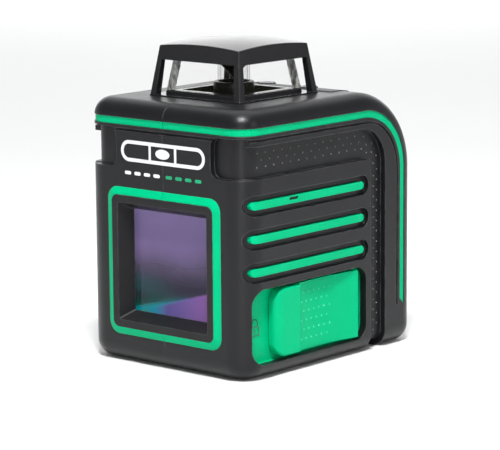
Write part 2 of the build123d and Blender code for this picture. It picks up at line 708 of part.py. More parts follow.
def bearing(centre, axis):
    """Small ball bearing with recessed shields, centred on a point."""
    start = Vector(*centre) - Vector(*axis) * (BEARING_WIDTH / 2)
    with BuildPart() as ring:
        with BuildSketch(Plane(origin=start, z_dir=axis)):
            Circle(BEARING_OUTER_R)
            Circle(BEARING_BORE_R, mode=Mode.SUBTRACT)
        extrude(amount=BEARING_WIDTH)
        for depth in (0, BEARING_WIDTH - SHIELD_DEPTH):
            with BuildSketch(Plane(origin=start, z_dir=axis).offset(depth)):
                Circle(BEARING_OUTER_R - 0.45)
                Circle(BEARING_BORE_R + 0.45, mode=Mode.SUBTRACT)
            extrude(amount=SHIELD_DEPTH, mode=Mode.SUBTRACT)
    return ring.part


lug_middle = (LUG_INNER_X + LUG_OUTER_X) / 2
with BuildPart() as outer_bearings:
    add(bearing((-lug_middle, HOOD_Y, PIVOT_Z), (1, 0, 0)))
    add(bearing((lug_middle, HOOD_Y, PIVOT_Z), (1, 0, 0)))
save(outer_bearings, "outer_bearings")

with BuildPart() as inner_bearings:
    add(bearing((0, HOOD_Y - HEAD_BEARING, PIVOT_Z), (0, 1, 0)))
    add(bearing((0, HOOD_Y + HEAD_BEARING, PIVOT_Z), (0, 1, 0)))
save(inner_bearings, "inner_bearings")

ring_middle = (RING_GIMBAL_OUTER + RING_GIMBAL_INNER) / 2
pin_spans = (
    ((-LUG_OUTER_X + 0.5, HOOD_Y, PIVOT_Z), (-ring_middle, HOOD_Y, PIVOT_Z)),
    ((ring_middle, HOOD_Y, PIVOT_Z), (LUG_OUTER_X - 0.5, HOOD_Y, PIVOT_Z)),
    ((0, HOOD_Y - ring_middle, PIVOT_Z), (0, HOOD_Y - HEAD_BEARING + 1.6, PIVOT_Z)),
    ((0, HOOD_Y + HEAD_BEARING - 1.6, PIVOT_Z), (0, HOOD_Y + ring_middle, PIVOT_Z)),
)
with BuildPart() as gimbal_ring:
    with BuildSketch(Plane.XY.offset(PIVOT_Z - RING_GIMBAL_HEIGHT / 2)):
        with Locations((0, HOOD_Y)):
            Circle(RING_GIMBAL_OUTER)
            Circle(RING_GIMBAL_INNER, mode=Mode.SUBTRACT)
    extrude(amount=RING_GIMBAL_HEIGHT)
    chamfer(gimbal_ring.edges().filter_by(GeomType.CIRCLE), length=0.5)
    for start, end in pin_spans:
        add(rod(PIN_R, start, end), mode=Mode.SUBTRACT)
save(gimbal_ring, "gimbal_ring")

with BuildPart() as gimbal_pins:
    for start, end in pin_spans:
        add(rod(PIN_R, start, end))
save(gimbal_pins, "gimbal_pins")

# ---------------------------------------------------------------- pendulum
spine_front = HOOD_Y + 3.0
spine_rear = HOOD_Y + 10.0
line_module_front = HOOD_Y - 18.5
line_module_rear = HOOD_Y + 6.0
with BuildPart() as pendulum_frame:
    add(rod(HEAD_RADIUS, (0, HOOD_Y, HEAD_BOTTOM), (0, HOOD_Y, HEAD_TOP)))
    chamfer(pendulum_frame.edges().filter_by(GeomType.CIRCLE), length=0.6)
    for side in (-1, 1):
        spans = sorted((side * HEAD_WAIST, side * BEYOND))
        add(block(spans, (-BEYOND, BEYOND), (HEAD_BOTTOM - 1, HEAD_TOP + 1)), mode=Mode.SUBTRACT)
    add(block((-6, 6), (spine_front, spine_rear), (WEIGHT_TOP, HEAD_BOTTOM + 1)))
    add(rod(LINE_MODULE_R + 2, (0, HOOD_Y - 8, MODULE_Z), (0, spine_rear, MODULE_Z)))
    add(block((-6, 6), (HOOD_Y - 6, spine_rear), (WEIGHT_TOP, MODULE_Z)))
    add(rod(LINE_MODULE_R, (0, FRONT, MODULE_Z), (0, line_module_rear, MODULE_Z)), mode=Mode.SUBTRACT)
    add(rod(MODULE_R, (0, HOOD_Y, MODULE_BOTTOM), (0, HOOD_Y, HEAD_TOP + 1)), mode=Mode.SUBTRACT)
    for side in (-1, 1):
        edge_y = HOOD_Y + side * (HEAD_RADIUS + 1)
        add(rod(BEARING_OUTER_R, (0, HOOD_Y + side * HEAD_LUG_INNER, PIVOT_Z), (0, edge_y, PIVOT_Z)),
            mode=Mode.SUBTRACT)
        add(rod(BEARING_BORE_R + 0.5, (0, HOOD_Y + side * (MODULE_R - 1), PIVOT_Z), (0, edge_y, PIVOT_Z)),
            mode=Mode.SUBTRACT)
    add(rod(BALANCE_R, (-20, BALANCE_Y, BALANCE_Z), (20, BALANCE_Y, BALANCE_Z)), mode=Mode.SUBTRACT)
    add(rod(BALANCE_R, (0, spine_front - 1, BALANCE_HIGH_Z), (0, spine_rear + 1, BALANCE_HIGH_Z)),
        mode=Mode.SUBTRACT)
save(pendulum_frame, "pendulum_frame")

with BuildPart() as pendulum_weight:
    add(rod(WEIGHT_R, (0, HOOD_Y, PIVOT_Z - LOCK_SPHERE_R - 1), (0, HOOD_Y, WEIGHT_TOP)))
    add(ball(LOCK_SPHERE_R, PIVOT_Z), mode=Mode.INTERSECT)
save(pendulum_weight, "pendulum_weight")

with BuildPart() as damping_ring:
    add(rod(WEIGHT_R + 1.5, (0, HOOD_Y, WEIGHT_TOP - 3.2), (0, HOOD_Y, WEIGHT_TOP)))
    add(rod(WEIGHT_R, (0, HOOD_Y, 0), (0, HOOD_Y, WEIGHT_TOP + 1)), mode=Mode.SUBTRACT)
save(damping_ring, "damping_ring")

with BuildPart() as balance_screws:
    add(rod(BALANCE_R, (-12, BALANCE_Y, BALANCE_Z), (12, BALANCE_Y, BALANCE_Z)))
    for side in (-1, 1):
        add(rod(BALANCE_R + 1.6, (side * 12, BALANCE_Y, BALANCE_Z), (side * 8.5, BALANCE_Y, BALANCE_Z)))
    add(rod(BALANCE_R, (0, spine_front, BALANCE_HIGH_Z), (0, spine_rear + 5, BALANCE_HIGH_Z)))
    add(rod(BALANCE_R + 1.6, (0, spine_rear + 2.5, BALANCE_HIGH_Z), (0, spine_rear + 5, BALANCE_HIGH_Z)))
save(balance_screws, "balance_screws")

with BuildPart() as cone_module:
    add(rod(MODULE_R, (0, HOOD_Y, MODULE_BOTTOM), (0, HOOD_Y, MODULE_TOP)))
    chamfer(cone_module.edges().filter_by(GeomType.CIRCLE), length=0.4)
    add(rod(MODULE_R - 1.6, (0, HOOD_Y, MODULE_TOP - 6), (0, HOOD_Y, MODULE_TOP + 1)), mode=Mode.SUBTRACT)
save(cone_module, "cone_module")

with BuildPart() as cone_collar:
    add(rod(COLLAR_R, (0, HOOD_Y, MODULE_TOP - 2), (0, HOOD_Y, COLLAR_TOP)))
    chamfer(cone_collar.edges().filter_by(GeomType.CIRCLE), length=0.3)
    add(rod(TUBE_OUTER_R, (0, HOOD_Y, TUBE_BOTTOM), (0, HOOD_Y, COLLAR_TOP + 1)), mode=Mode.SUBTRACT)
    add(rod(MODULE_R, (0, HOOD_Y, MODULE_TOP - 3), (0, HOOD_Y, MODULE_TOP)), mode=Mode.SUBTRACT)
    add(rod(MODULE_R - 1.6, (0, HOOD_Y, MODULE_TOP - 3), (0, HOOD_Y, COLLAR_TOP + 1)), mode=Mode.SUBTRACT)
save(cone_collar, "cone_collar")

with BuildPart() as cone_tube:
    add(rod(TUBE_OUTER_R, (0, HOOD_Y, TUBE_BOTTOM), (0, HOOD_Y, TUBE_TOP)))
    add(rod(TUBE_INNER_R, (0, HOOD_Y, TUBE_BOTTOM - 1), (0, HOOD_Y, TUBE_TOP + 1)), mode=Mode.SUBTRACT)
save(cone_tube, "cone_tube")

cone_radius = TUBE_INNER_R - 0.05
with BuildPart() as cone_mirror:
    with BuildSketch(Plane.XZ) as profile:
        Polygon(
            (0, CONE_APEX_Z),
            (cone_radius, CONE_APEX_Z + cone_radius),
            (cone_radius, TUBE_TOP),
            (TUBE_OUTER_R, TUBE_TOP),
            (TUBE_OUTER_R, TUBE_TOP + 0.9),
            (0, TUBE_TOP + 0.9),
            align=None,
        )
    revolve(axis=Axis.Z)
cone_mirror.part.locate(Location((0, HOOD_Y, 0)))
save(cone_mirror, "cone_mirror")

with BuildPart() as line_module:
    add(rod(LINE_MODULE_R, (0, line_module_front, MODULE_Z), (0, line_module_rear, MODULE_Z)))
    chamfer(line_module.edges().filter_by(GeomType.CIRCLE), length=0.4)
    add(rod(LINE_MODULE_R - 1.5, (0, line_module_front - 1, MODULE_Z), (0, line_module_front + 5, MODULE_Z)),
        mode=Mode.SUBTRACT)
save(line_module, "line_module")

with BuildPart() as lens_holder:
    holder_ends = (0, line_module_front - 2.2, MODULE_Z), (0, line_module_front + 3, MODULE_Z)
    add(rod(LINE_MODULE_R + 1.4, *holder_ends))
    chamfer(lens_holder.edges().filter_by(GeomType.CIRCLE), length=0.5)
    add(rod(LINE_MODULE_R, (0, line_module_front, MODULE_Z), (0, line_module_front + 4, MODULE_Z)),
        mode=Mode.SUBTRACT)
    add(rod(LINE_MODULE_R - 2.2, (0, line_module_front - 3, MODULE_Z), (0, line_module_front + 1, MODULE_Z)),
        mode=Mode.SUBTRACT)
    lens_y = line_module_front - LENS_FORWARD
    lens_ends = (-LENS_HALF, lens_y, MODULE_Z), (LENS_HALF, lens_y, MODULE_Z)
    add(rod(LENS_R, *lens_ends), mode=Mode.SUBTRACT)
save(lens_holder, "lens_holder")

with BuildPart() as line_lens:
    add(rod(LENS_R, *lens_ends))
save(line_lens, "line_lens")

# ---------------------------------------------------------------- magnets round the pendulum's foot
def magnet_discs():
    """Four discs set in the ring's inner wall."""
    with BuildPart() as discs:
        for turn in (0, 90, 180, 270):
            out = Vector(math.cos(math.radians(turn)), math.sin(math.radians(turn)), 0)
            centre = Vector(0, HOOD_Y, (MAGNET_RING_BOTTOM + MAGNET_RING_TOP) / 2)
            magnet_ends = centre + out * (MAGNET_RING_INNER + 0.3), centre + out * (MAGNET_RING_OUTER - 1)
            add(rod(MAGNET_R, *magnet_ends))
    return discs.part


with BuildPart() as magnet_ring:
    add(rod(MAGNET_RING_OUTER, (0, HOOD_Y, MAGNET_RING_BOTTOM), (0, HOOD_Y, MAGNET_RING_TOP)))
    add(rod(MAGNET_RING_INNER, (0, HOOD_Y, 0), (0, HOOD_Y, BODY_HEIGHT)), mode=Mode.SUBTRACT)
    for turn in (45, 135, 225, 315):
        x = MAGNET_POST_AT * math.cos(math.radians(turn))
        y = HOOD_Y + MAGNET_POST_AT * math.sin(math.radians(turn))
        add(rod(MAGNET_POST_R, (x, y, WALL), (x, y, MAGNET_RING_BOTTOM + 0.5)))
    add(magnet_discs(), mode=Mode.SUBTRACT)
save(magnet_ring, "magnet_ring")

with BuildPart() as magnets:
    add(magnet_discs())
save(magnets, "magnets")

# ---------------------------------------------------------------- lock gear
with BuildSketch() as slider_outline:
    with Locations(((SLIDER_FRONT + SLIDER_REAR) / 2, (SLIDER_BOTTOM + SLIDER_TOP) / 2)):
        Rectangle(SLIDER_REAR - SLIDER_FRONT, SLIDER_TOP - SLIDER_BOTTOM)
    fillet(slider_outline.vertices().group_by(Axis.X)[0], radius=SLIDER_CORNER)
    fillet(slider_outline.vertices().group_by(Axis.X)[-1], radius=1.5)

with BuildPart() as lock_slider:
    with BuildSketch(Plane.XY.offset(SLIDER_BOTTOM)):
        with BuildLine():
            Polyline(
                (SLIDER_BACK_X, SLIDER_REAR),
                (SLIDER_BACK_X, SLIDER_FRONT),
                (SLIDER_FACE_X - 0.4, SLIDER_FRONT),
                (SLIDER_FACE_X, SLIDER_FRONT + 4),
                (SLIDER_FACE_X, SLIDER_STEP_Y),
                (SLIDER_FACE_X - SLIDER_STEP, SLIDER_STEP_Y + 0.3),
            )
            ThreePointArc(
                (SLIDER_FACE_X - SLIDER_STEP, SLIDER_STEP_Y + 0.3),
                (SLIDER_FACE_X - SLIDER_STEP - 0.6, (SLIDER_STEP_Y + SLIDER_REAR) / 2),
                (SLIDER_FACE_X, SLIDER_REAR - 0.8),
            )
            Polyline(
                (SLIDER_FACE_X, SLIDER_REAR - 0.8),
                (SLIDER_FACE_X - 0.8, SLIDER_REAR),
                (SLIDER_BACK_X, SLIDER_REAR),
            )
        make_face()
    extrude(amount=SLIDER_TOP - SLIDER_BOTTOM)
    nose = lock_slider.edges().filter_by(Axis.Z).filter_by_position(Axis.Y, SLIDER_FRONT - 1, SLIDER_FRONT + 1)
    fillet(nose.sort_by(Axis.X)[-1], radius=2.4)
    add(side_prism(slider_outline.sketch, 0, BEYOND), mode=Mode.INTERSECT)
    nose_rim = lock_slider.faces().filter_by(Axis.X).sort_by(Axis.X)[-1].edges()
    fillet(nose_rim.sort_by(Axis.Z)[-1], radius=0.9)
    fillet(lock_slider.faces().filter_by(Axis.X).sort_by(Axis.X)[-1].edges().sort_by(Axis.Z)[0], radius=0.9)
save(lock_slider, "lock_slider")

wedge_front = HOOD_Y - FOOT_HALF - 1.0
wedge_rear = HOOD_Y + FOOT_HALF + SLIDER_TRAVEL + 0.4


def wedge_height(y):
    """Height of the wedge's top over the base plane at a y position, slider locked."""
    return WEDGE_TOP_Z - WEDGE_SLOPE * (y - HOOD_Y)


with BuildPart() as lock_carriage:
    with BuildSketch(Plane.YZ.offset(-WEDGE_HALF_X)):
        Polygon(
            (wedge_front, WEDGE_BOTTOM_Z),
            (wedge_rear, WEDGE_BOTTOM_Z),
            (wedge_rear, wedge_height(wedge_rear)),
            (wedge_front, wedge_height(wedge_front)),
            align=None,
        )
    extrude(amount=2 * WEDGE_HALF_X)
    add(block((WEDGE_HALF_X, SLIDER_BACK_X), ARM_Y, ARM_Z))
save(lock_carriage, "lock_carriage")

with BuildPart() as brake_plunger:
    with BuildSketch(Plane.YZ.offset(-WEDGE_HALF_X + 0.5)):
        Polygon(
            (HOOD_Y - FOOT_HALF, wedge_height(HOOD_Y - FOOT_HALF) + LOCK_GAP),
            (HOOD_Y + FOOT_HALF, wedge_height(HOOD_Y + FOOT_HALF) + LOCK_GAP),
            (HOOD_Y + FOOT_HALF, FOOT_TOP),
            (HOOD_Y - FOOT_HALF, FOOT_TOP),
            align=None,
        )
    extrude(amount=2 * WEDGE_HALF_X - 1)
    add(rod(PLUNGER_STEM_R, (0, HOOD_Y, FOOT_TOP - 0.2), (0, HOOD_Y, FLANGE_BOTTOM)))
    add(rod(PLUNGER_FLANGE_R, (0, HOOD_Y, FLANGE_BOTTOM), (0, HOOD_Y, PAD_BOTTOM)))
save(brake_plunger, "brake_plunger")

with BuildPart() as brake_pad:
    add(rod(PLUNGER_FLANGE_R, (0, HOOD_Y, PAD_BOTTOM), (0, HOOD_Y, PAD_BOTTOM + 4)))
    add(ball(LOCK_SPHERE_R + LOCK_GAP, PIVOT_Z), mode=Mode.SUBTRACT)
save(brake_pad, "brake_pad")

with BuildPart() as plunger_guide:
    add(block((-5, 5), GUIDE_Y, (GUIDE_BOTTOM, GUIDE_TOP)))
    for leg in ((GUIDE_Y[0], GUIDE_Y[0] + 2), (GUIDE_Y[1] - 2, GUIDE_Y[1])):
        add(block((-5, 5), leg, (WALL, GUIDE_TOP)))
    add(rod(PLUNGER_BORE_R, (0, HOOD_Y, 0), (0, HOOD_Y, BODY_HEIGHT)), mode=Mode.SUBTRACT)
save(plunger_guide, "plunger_guide")

with BuildPart() as power_switch:
    add(block((18, 26), (5.6, 10.4), (WALL, 12.0)))
    chamfer(power_switch.edges().filter_by(Axis.Z), length=0.4)
    add(rod(0.8, (22, 4.4, 10.4), (22, 6, 10.4)))
save(power_switch, "power_switch")

# ---------------------------------------------------------------- battery bay
with BuildPart() as battery_box:
    add(block((-BOX_HALF_X, BOX_HALF_X), (BOX_FRONT, BOX_REAR), (WALL, BOX_TOP)))
    add(block((1 - BOX_HALF_X, BOX_HALF_X - 1), (BOX_FRONT + 1.1, BEYOND), (WALL + 1.2, BOX_TOP - 0.9)),
        mode=Mode.SUBTRACT)
save(battery_box, "battery_box")

cell_places = (-CELL_PITCH, 0, CELL_PITCH)
for number, x in enumerate(cell_places, start=1):
    with BuildPart() as cell:
        with BuildSketch(Plane.XY.offset(CELL_BOTTOM)):
            with Locations((x, CELL_Y)):
                Circle(CELL_R)
        extrude(amount=CELL_TOP - CELL_BOTTOM)
        chamfer(cell.edges().filter_by(GeomType.CIRCLE), length=0.4)
        with BuildSketch(Plane.XY.offset(CELL_TOP)):
            with Locations((x, CELL_Y)):
                Circle(2.6)
        extrude(amount=0.8)
    save(cell, f"cell_{number}")

with BuildPart() as battery_contacts:
    for x in cell_places:
        for plate_z in ((WALL + 1.2, WALL + 1.5), (CELL_TOP + 0.9, CELL_TOP + 1.3)):
            add(block((x - 5, x + 5), (CELL_Y - 5, CELL_Y + 5), plate_z))
        with BuildLine(Plane(origin=(x, CELL_Y, WALL + 1.7))) as coil:
            Helix(pitch=0.8, height=1.6, radius=2.6)
        with BuildSketch(Plane(origin=coil.line @ 0, z_dir=coil.line % 0)):
            Circle(0.25)
        sweep()
save(battery_contacts, "battery_contacts")

with BuildPart() as cover_frame:
    add(block((-FRAME_HALF_X, FRAME_HALF_X), (REAR - WALL, BEYOND), (FRAME_BOTTOM, FRAME_TOP)))
    add(outer_body, mode=Mode.INTERSECT)
    opening = block(
        (-COVER_HALF_X - COVER_GAP, COVER_HALF_X + COVER_GAP),
        (0, BEYOND),
        (HINGE_Z - KNUCKLE_R - COVER_GAP, COVER_TOP + COVER_GAP),
    )
    add(opening, mode=Mode.SUBTRACT)
    add(block((-4.4, 4.4), (0, REAR - 0.7), (COVER_TOP, TONGUE_TOP + 0.3)), mode=Mode.SUBTRACT)
    add(rod(1.05, (-COVER_HALF_X - 2, HINGE_Y, HINGE_Z), (COVER_HALF_X + 2, HINGE_Y, HINGE_Z)),
        mode=Mode.SUBTRACT)
save(cover_frame, "cover_frame")

with BuildPart() as battery_cover:
    add(block((-COVER_HALF_X, COVER_HALF_X), (REAR - COVER_THICKNESS, REAR), (HINGE_Z, COVER_TOP)))
    fillet(battery_cover.edges().filter_by(Axis.Y).group_by(Axis.Z)[-1], radius=1.2)
    for rib in range(6):
        rib_z = 16 + 4.5 * rib
        add(block((-17, 17), (REAR - 0.6, REAR + 1), (rib_z, rib_z + 1.6)), mode=Mode.SUBTRACT)
    add(rod(KNUCKLE_R, (-COVER_HALF_X, HINGE_Y, HINGE_Z), (COVER_HALF_X, HINGE_Y, HINGE_Z)))
    add(block((-LATCH_HALF_X - COVER_GAP, LATCH_HALF_X + COVER_GAP), (LATCH_BACK_Y - COVER_GAP, BEYOND),
              (LATCH_BOTTOM - LATCH_TRAVEL - COVER_GAP, BEYOND)), mode=Mode.SUBTRACT)
    add(rod(1.0, (-COVER_HALF_X - 1.8, HINGE_Y, HINGE_Z), (COVER_HALF_X + 1.8, HINGE_Y, HINGE_Z)))
save(battery_cover, "battery_cover")

with BuildPart() as cover_latch:
    add(block((-LATCH_HALF_X, LATCH_HALF_X), (LATCH_BACK_Y, REAR - 0.6), (LATCH_BOTTOM, COVER_TOP - 0.2)))
    for rib in range(4):
        rib_z = LATCH_BOTTOM + 1.4 + 2.2 * rib
        add(block((-LATCH_HALF_X + 1, LATCH_HALF_X - 1), (REAR - 0.7, REAR - 0.1), (rib_z, rib_z + 1)))
    add(block((-4, 4), (LATCH_BACK_Y, REAR - 1.1), (COVER_TOP - 1, TONGUE_TOP)))
save(cover_latch, "cover_latch")

# ---------------------------------------------------------------- keypad
with BuildPart() as keypad_panel:
    add((keypad_prism & envelope(-KEYPAD_PROUD)) - envelope(KEYPAD_DEPTH))
    for prism in button_prisms:
        add(prism, mode=Mode.SUBTRACT)
save(keypad_panel, "keypad_panel")

for x, name in ((-BUTTON_X, "button_level"), (BUTTON_X, "button_plumb")):
    with BuildPart() as button:
        add(rod(BUTTON_R, (x, BUTTON_Y, BUTTON_CAP_BOTTOM), (x, BUTTON_Y, BUTTON_TOP)))
        fillet(button.edges().filter_by(GeomType.CIRCLE).sort_by(Axis.Z)[-1], radius=0.5)
        add(rod(BUTTON_STEM_R, (x, BUTTON_Y, BUTTON_STEM_BOTTOM), (x, BUTTON_Y, BUTTON_CAP_BOTTOM)))
    save(button, name)

with BuildPart() as keypad_board:
    add(block((-17, 17), (KEYPAD_FRONT, 22.4), (KEYPAD_BOARD_Z, KEYPAD_BOARD_Z + 1.2)))
    for x in (-15, 15):
        add(rod(1.3, (x, BUTTON_Y - 2, KEYPAD_BOARD_Z), (x, BUTTON_Y - 2, SHELL_TOP_INSIDE)))
    for x in (-BUTTON_X, BUTTON_X):
        add(block((x - 2.5, x + 2.5), (BUTTON_Y - 2.5, BUTTON_Y + 2.5), (KEYPAD_BOARD_Z + 1.2, 79.2)))
        add(rod(1.0, (x, BUTTON_Y, 79), (x, BUTTON_Y, BUTTON_STEM_BOTTOM - BUTTON_TRAVEL - 0.3)))
save(keypad_board, "keypad_board")

# ---------------------------------------------------------------- electronics
with BuildPart() as main_board:
    add(block(BOARD_X, BOARD_Y, BOARD_Z))
    for y in (BOARD_Y[0] + 4, BOARD_Y[1] - 4):
        for z in (BOARD_Z[0] + 4, BOARD_Z[1] - 4):
            add(rod(2.0, (-HALF_WIDTH + WALL, y, z), (BOARD_X[0], y, z)))
save(main_board, "main_board")

with BuildPart() as board_chips:
    for y_span, z_span, height in (((-12, -2), (36, 46), 1.4), ((2, 8), (34, 39), 1.6), ((-20, -15), (38, 44), 2.2),
                                   ((-2, 4), (48, 53), 1.2)):
        add(block((BOARD_X[1], BOARD_X[1] + height), y_span, z_span))
save(board_chips, "board_chips")

with BuildPart() as status_led:
    add(block((25.0, 26.2), (-25, -13), (50, 61)))
    add(rod(1.5, (26.2, -19, RIB_Z[2] + 0.35), (28.6, -19, RIB_Z[2] + 0.35)))
    fillet(status_led.edges().filter_by(GeomType.CIRCLE).sort_by(Axis.X)[-1], radius=1.2)
save(status_led, "status_led")

# ---------------------------------------------------------------- tripod insert
with BuildPart() as tripod_insert:
    add(rod(INSERT_OUTER_R, (0, 0, INSERT_MOUTH_Z), (0, 0, INSERT_MOUTH_Z + INSERT_LENGTH)))
    add(rod(INSERT_BORE_R, (0, 0, INSERT_MOUTH_Z - 1), (0, 0, INSERT_MOUTH_Z + INSERT_LENGTH - 0.8)),
        mode=Mode.SUBTRACT)
    lowest_circles = tripod_insert.edges().filter_by(GeomType.CIRCLE).group_by(Axis.Z)[0]
    chamfer(lowest_circles.sort_by(SortBy.RADIUS)[0], length=0.4)
save(tripod_insert, "tripod_insert")
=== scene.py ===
import json
import math

import bmesh
import bpy
from mathutils import Matrix, Vector
from mathutils.bvhtree import BVHTree


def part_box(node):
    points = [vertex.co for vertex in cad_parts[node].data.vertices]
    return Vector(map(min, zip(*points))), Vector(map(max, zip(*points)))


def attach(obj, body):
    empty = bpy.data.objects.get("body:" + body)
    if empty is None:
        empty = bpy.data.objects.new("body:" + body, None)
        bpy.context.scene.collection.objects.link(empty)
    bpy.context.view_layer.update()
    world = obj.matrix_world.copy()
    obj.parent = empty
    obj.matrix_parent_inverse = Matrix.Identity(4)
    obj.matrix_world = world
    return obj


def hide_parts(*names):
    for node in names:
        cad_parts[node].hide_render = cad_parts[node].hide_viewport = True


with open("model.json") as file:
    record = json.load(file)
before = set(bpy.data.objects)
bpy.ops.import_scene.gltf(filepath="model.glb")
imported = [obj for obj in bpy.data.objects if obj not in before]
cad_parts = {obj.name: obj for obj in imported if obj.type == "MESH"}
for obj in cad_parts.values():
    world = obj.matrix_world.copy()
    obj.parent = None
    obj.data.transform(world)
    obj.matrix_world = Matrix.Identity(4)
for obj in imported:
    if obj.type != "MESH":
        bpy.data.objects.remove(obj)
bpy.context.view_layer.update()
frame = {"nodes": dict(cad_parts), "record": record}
MM = 0.001
VISIBLE_GLASS = 0.0165  # half of the window glass that the tunnel leaves in view


# ---------------------------------------------------------------- node helpers
class Nodes:
    """A material's node tree with short calls for what the finishes share."""

    def __init__(self, name):
        self.material = bpy.data.materials.new(name)
        self.material.use_nodes = True
        self.tree = self.material.node_tree
        self.tree.nodes.clear()
        self.output = self.tree.nodes.new("ShaderNodeOutputMaterial")
        self.position = self.tree.nodes.new("ShaderNodeTexCoord").outputs["Object"]

    def node(self, kind, **settings):
        made = self.tree.nodes.new(kind)
        for key, value in settings.items():
            setattr(made, key, value)
        return made

    def link(self, source, target):
        self.tree.links.new(source, target)

    def set(self, socket, value):
        if isinstance(value, bpy.types.NodeSocket):
            self.link(value, socket)
        else:
            socket.default_value = value

    def math(self, operation, a, b=0.0, clamp=False):
        made = self.node("ShaderNodeMath", operation=operation, use_clamp=clamp)
        self.set(made.inputs[0], a)
        self.set(made.inputs[1], b)
        return made.outputs[0]

    def stretched(self, scale, turn=(0, 0, 0)):
        mapping = self.node("ShaderNodeMapping")
        self.link(self.position, mapping.inputs["Vector"])
        mapping.inputs["Scale"].default_value = scale
        mapping.inputs["Rotation"].default_value = turn
        return mapping.outputs["Vector"]

    def noise(self, scale, detail=3.0, rough=0.55, vector=None):
        made = self.node("ShaderNodeTexNoise")
        self.link(vector or self.position, made.inputs["Vector"])
        made.inputs["Scale"].default_value = scale
        made.inputs["Detail"].default_value = detail
        made.inputs["Roughness"].default_value = rough
        return made.outputs["Fac"]

    def cells(self, scale):
        made = self.node("ShaderNodeTexVoronoi")
        self.link(self.position, made.inputs["Vector"])
        made.inputs["Scale"].default_value = scale
        return made.outputs["Distance"]

    def span(self, value, low, high, to_low=0.0, to_high=1.0):
        made = self.node("ShaderNodeMapRange")
        self.link(value, made.inputs["Value"])
        for key, number in (("From Min", low), ("From Max", high), ("To Min", to_low), ("To Max", to_high)):
            made.inputs[key].default_value = number
        return made.outputs["Result"]

    def ramp(self, value, stops):
        made = self.node("ShaderNodeValToRGB")
        self.link(value, made.inputs["Fac"])
        elements = made.color_ramp.elements
        while len(elements) < len(stops):
            elements.new(0.5)
        for element, (place, colour) in zip(elements, stops):
            element.position = place
            element.color = (*colour, 1.0)
        return made.outputs["Color"]

    def mix(self, factor, a, b):
        made = self.node("ShaderNodeMix", data_type="RGBA")
        self.set(made.inputs["Factor"], factor)
        for socket, value in ((made.inputs["A"], a), (made.inputs["B"], b)):
            self.set(socket, value if isinstance(value, bpy.types.NodeSocket) else (*value, 1.0))
        return made.outputs["Result"]

    def rounded(self, radius):
        made = self.node("ShaderNodeBevel", samples=4)
        made.inputs["Radius"].default_value = radius
        return made.outputs["Normal"]

    def edge(self, radius):
        """1 along sharp edges, 0 on flats, from how far the bevelled normal leans off the face."""
        geometry = self.node("ShaderNodeNewGeometry")
        dot = self.node("ShaderNodeVectorMath", operation="DOT_PRODUCT")
        self.link(self.rounded(radius), dot.inputs[0])
        self.link(geometry.outputs["Normal"], dot.inputs[1])
        return self.span(self.math("SUBTRACT", 1.0, dot.outputs["Value"]), 0.02, 0.35)

    def bump(self, height, distance, strength=1.0, normal=None):
        made = self.node("ShaderNodeBump")
        self.link(height, made.inputs["Height"])
        made.inputs["Distance"].default_value = distance
        made.inputs["Strength"].default_value = strength
        if normal is not None:
            self.link(normal, made.inputs["Normal"])
        return made.outputs["Normal"]

    def axis(self, letter):
        made = self.node("ShaderNodeSeparateXYZ")
        self.link(self.position, made.inputs[0])
        return made.outputs[letter]

    def principled(self, **inputs):
        shader = self.node("ShaderNodeBsdfPrincipled")
        for key, value in inputs.items():
            name = key.replace("_", " ")
            if isinstance(value, tuple):
                value = (*value, 1.0)
            self.set(shader.inputs[name], value)
        return shader

    def finish(self, shader):
        self.link(shader.outputs[0], self.output.inputs["Surface"])
        return self.material


# ---------------------------------------------------------------- finishes
def moulded(name, colour, dark, rough, grain, grain_depth, edge_wear_and_highlight_colour=None, round_edge=0.00025, coat=0.0,
            sheen=0.0, specular=0.5):
    """Moulded plastic or rubber: cloudy colour, spark-eroded grain, edges lightened as rubbed wear and as a
    painted highlight, softened corners.
    """
    n = Nodes(name)
    cloud = n.noise(45, 4)
    speck = n.noise(grain * 0.6, 2)
    base = n.mix(n.span(cloud, 0.3, 0.7), dark, colour)
    base = n.mix(n.span(speck, 0.62, 0.75, 0.0, 0.35), base, tuple(min(1, c * 1.5 + 0.004) for c in colour))
    softened = n.rounded(round_edge)
    # lighter edges: partly rubbed wear, partly a painted highlight along the edges
    if edge_wear_and_highlight_colour:
        edge_wear_and_highlight = n.math("MULTIPLY", n.edge(round_edge * 1.6), n.span(n.noise(260, 3), 0.36, 0.56), clamp=True)
        base = n.mix(edge_wear_and_highlight, base, edge_wear_and_highlight_colour)
    roughness = n.span(n.noise(120, 4), 0.25, 0.75, rough * 0.85, rough * 1.15)
    normal = n.bump(n.cells(grain), grain_depth, 0.8, softened)
    normal = n.bump(n.noise(90, 2), 0.00006, 0.5, normal)
    shader = n.principled(Base_Color=base, Roughness=roughness, Normal=normal, Specular_IOR_Level=specular)
    shader.inputs["Coat Weight"].default_value = coat
    shader.inputs["Coat Roughness"].default_value = 0.12
    shader.inputs["Sheen Weight"].default_value = sheen
    shader.inputs["Sheen Roughness"].default_value = 0.5
    return n.finish(shader)


def metal(name, colour, rough, brush=(1, 1, 1), brush_scale=900, depth=0.000006, tarnish=None):
    """Turned, brushed or cast metal, with light handling marks."""
    n = Nodes(name)
    lines = n.noise(brush_scale, 4, 0.6, n.stretched(brush))
    smudge = n.noise(60, 4)
    base = n.mix(n.span(smudge, 0.35, 0.7, 0.0, 0.6), colour, tarnish or tuple(c * 0.72 for c in colour))
    roughness = n.span(lines, 0.3, 0.7, rough * 0.7, rough * 1.3)
    normal = n.bump(lines, depth, 1.0, n.rounded(0.00012))
    return n.finish(n.principled(Base_Color=base, Roughness=roughness, Normal=normal, Metallic=1.0))


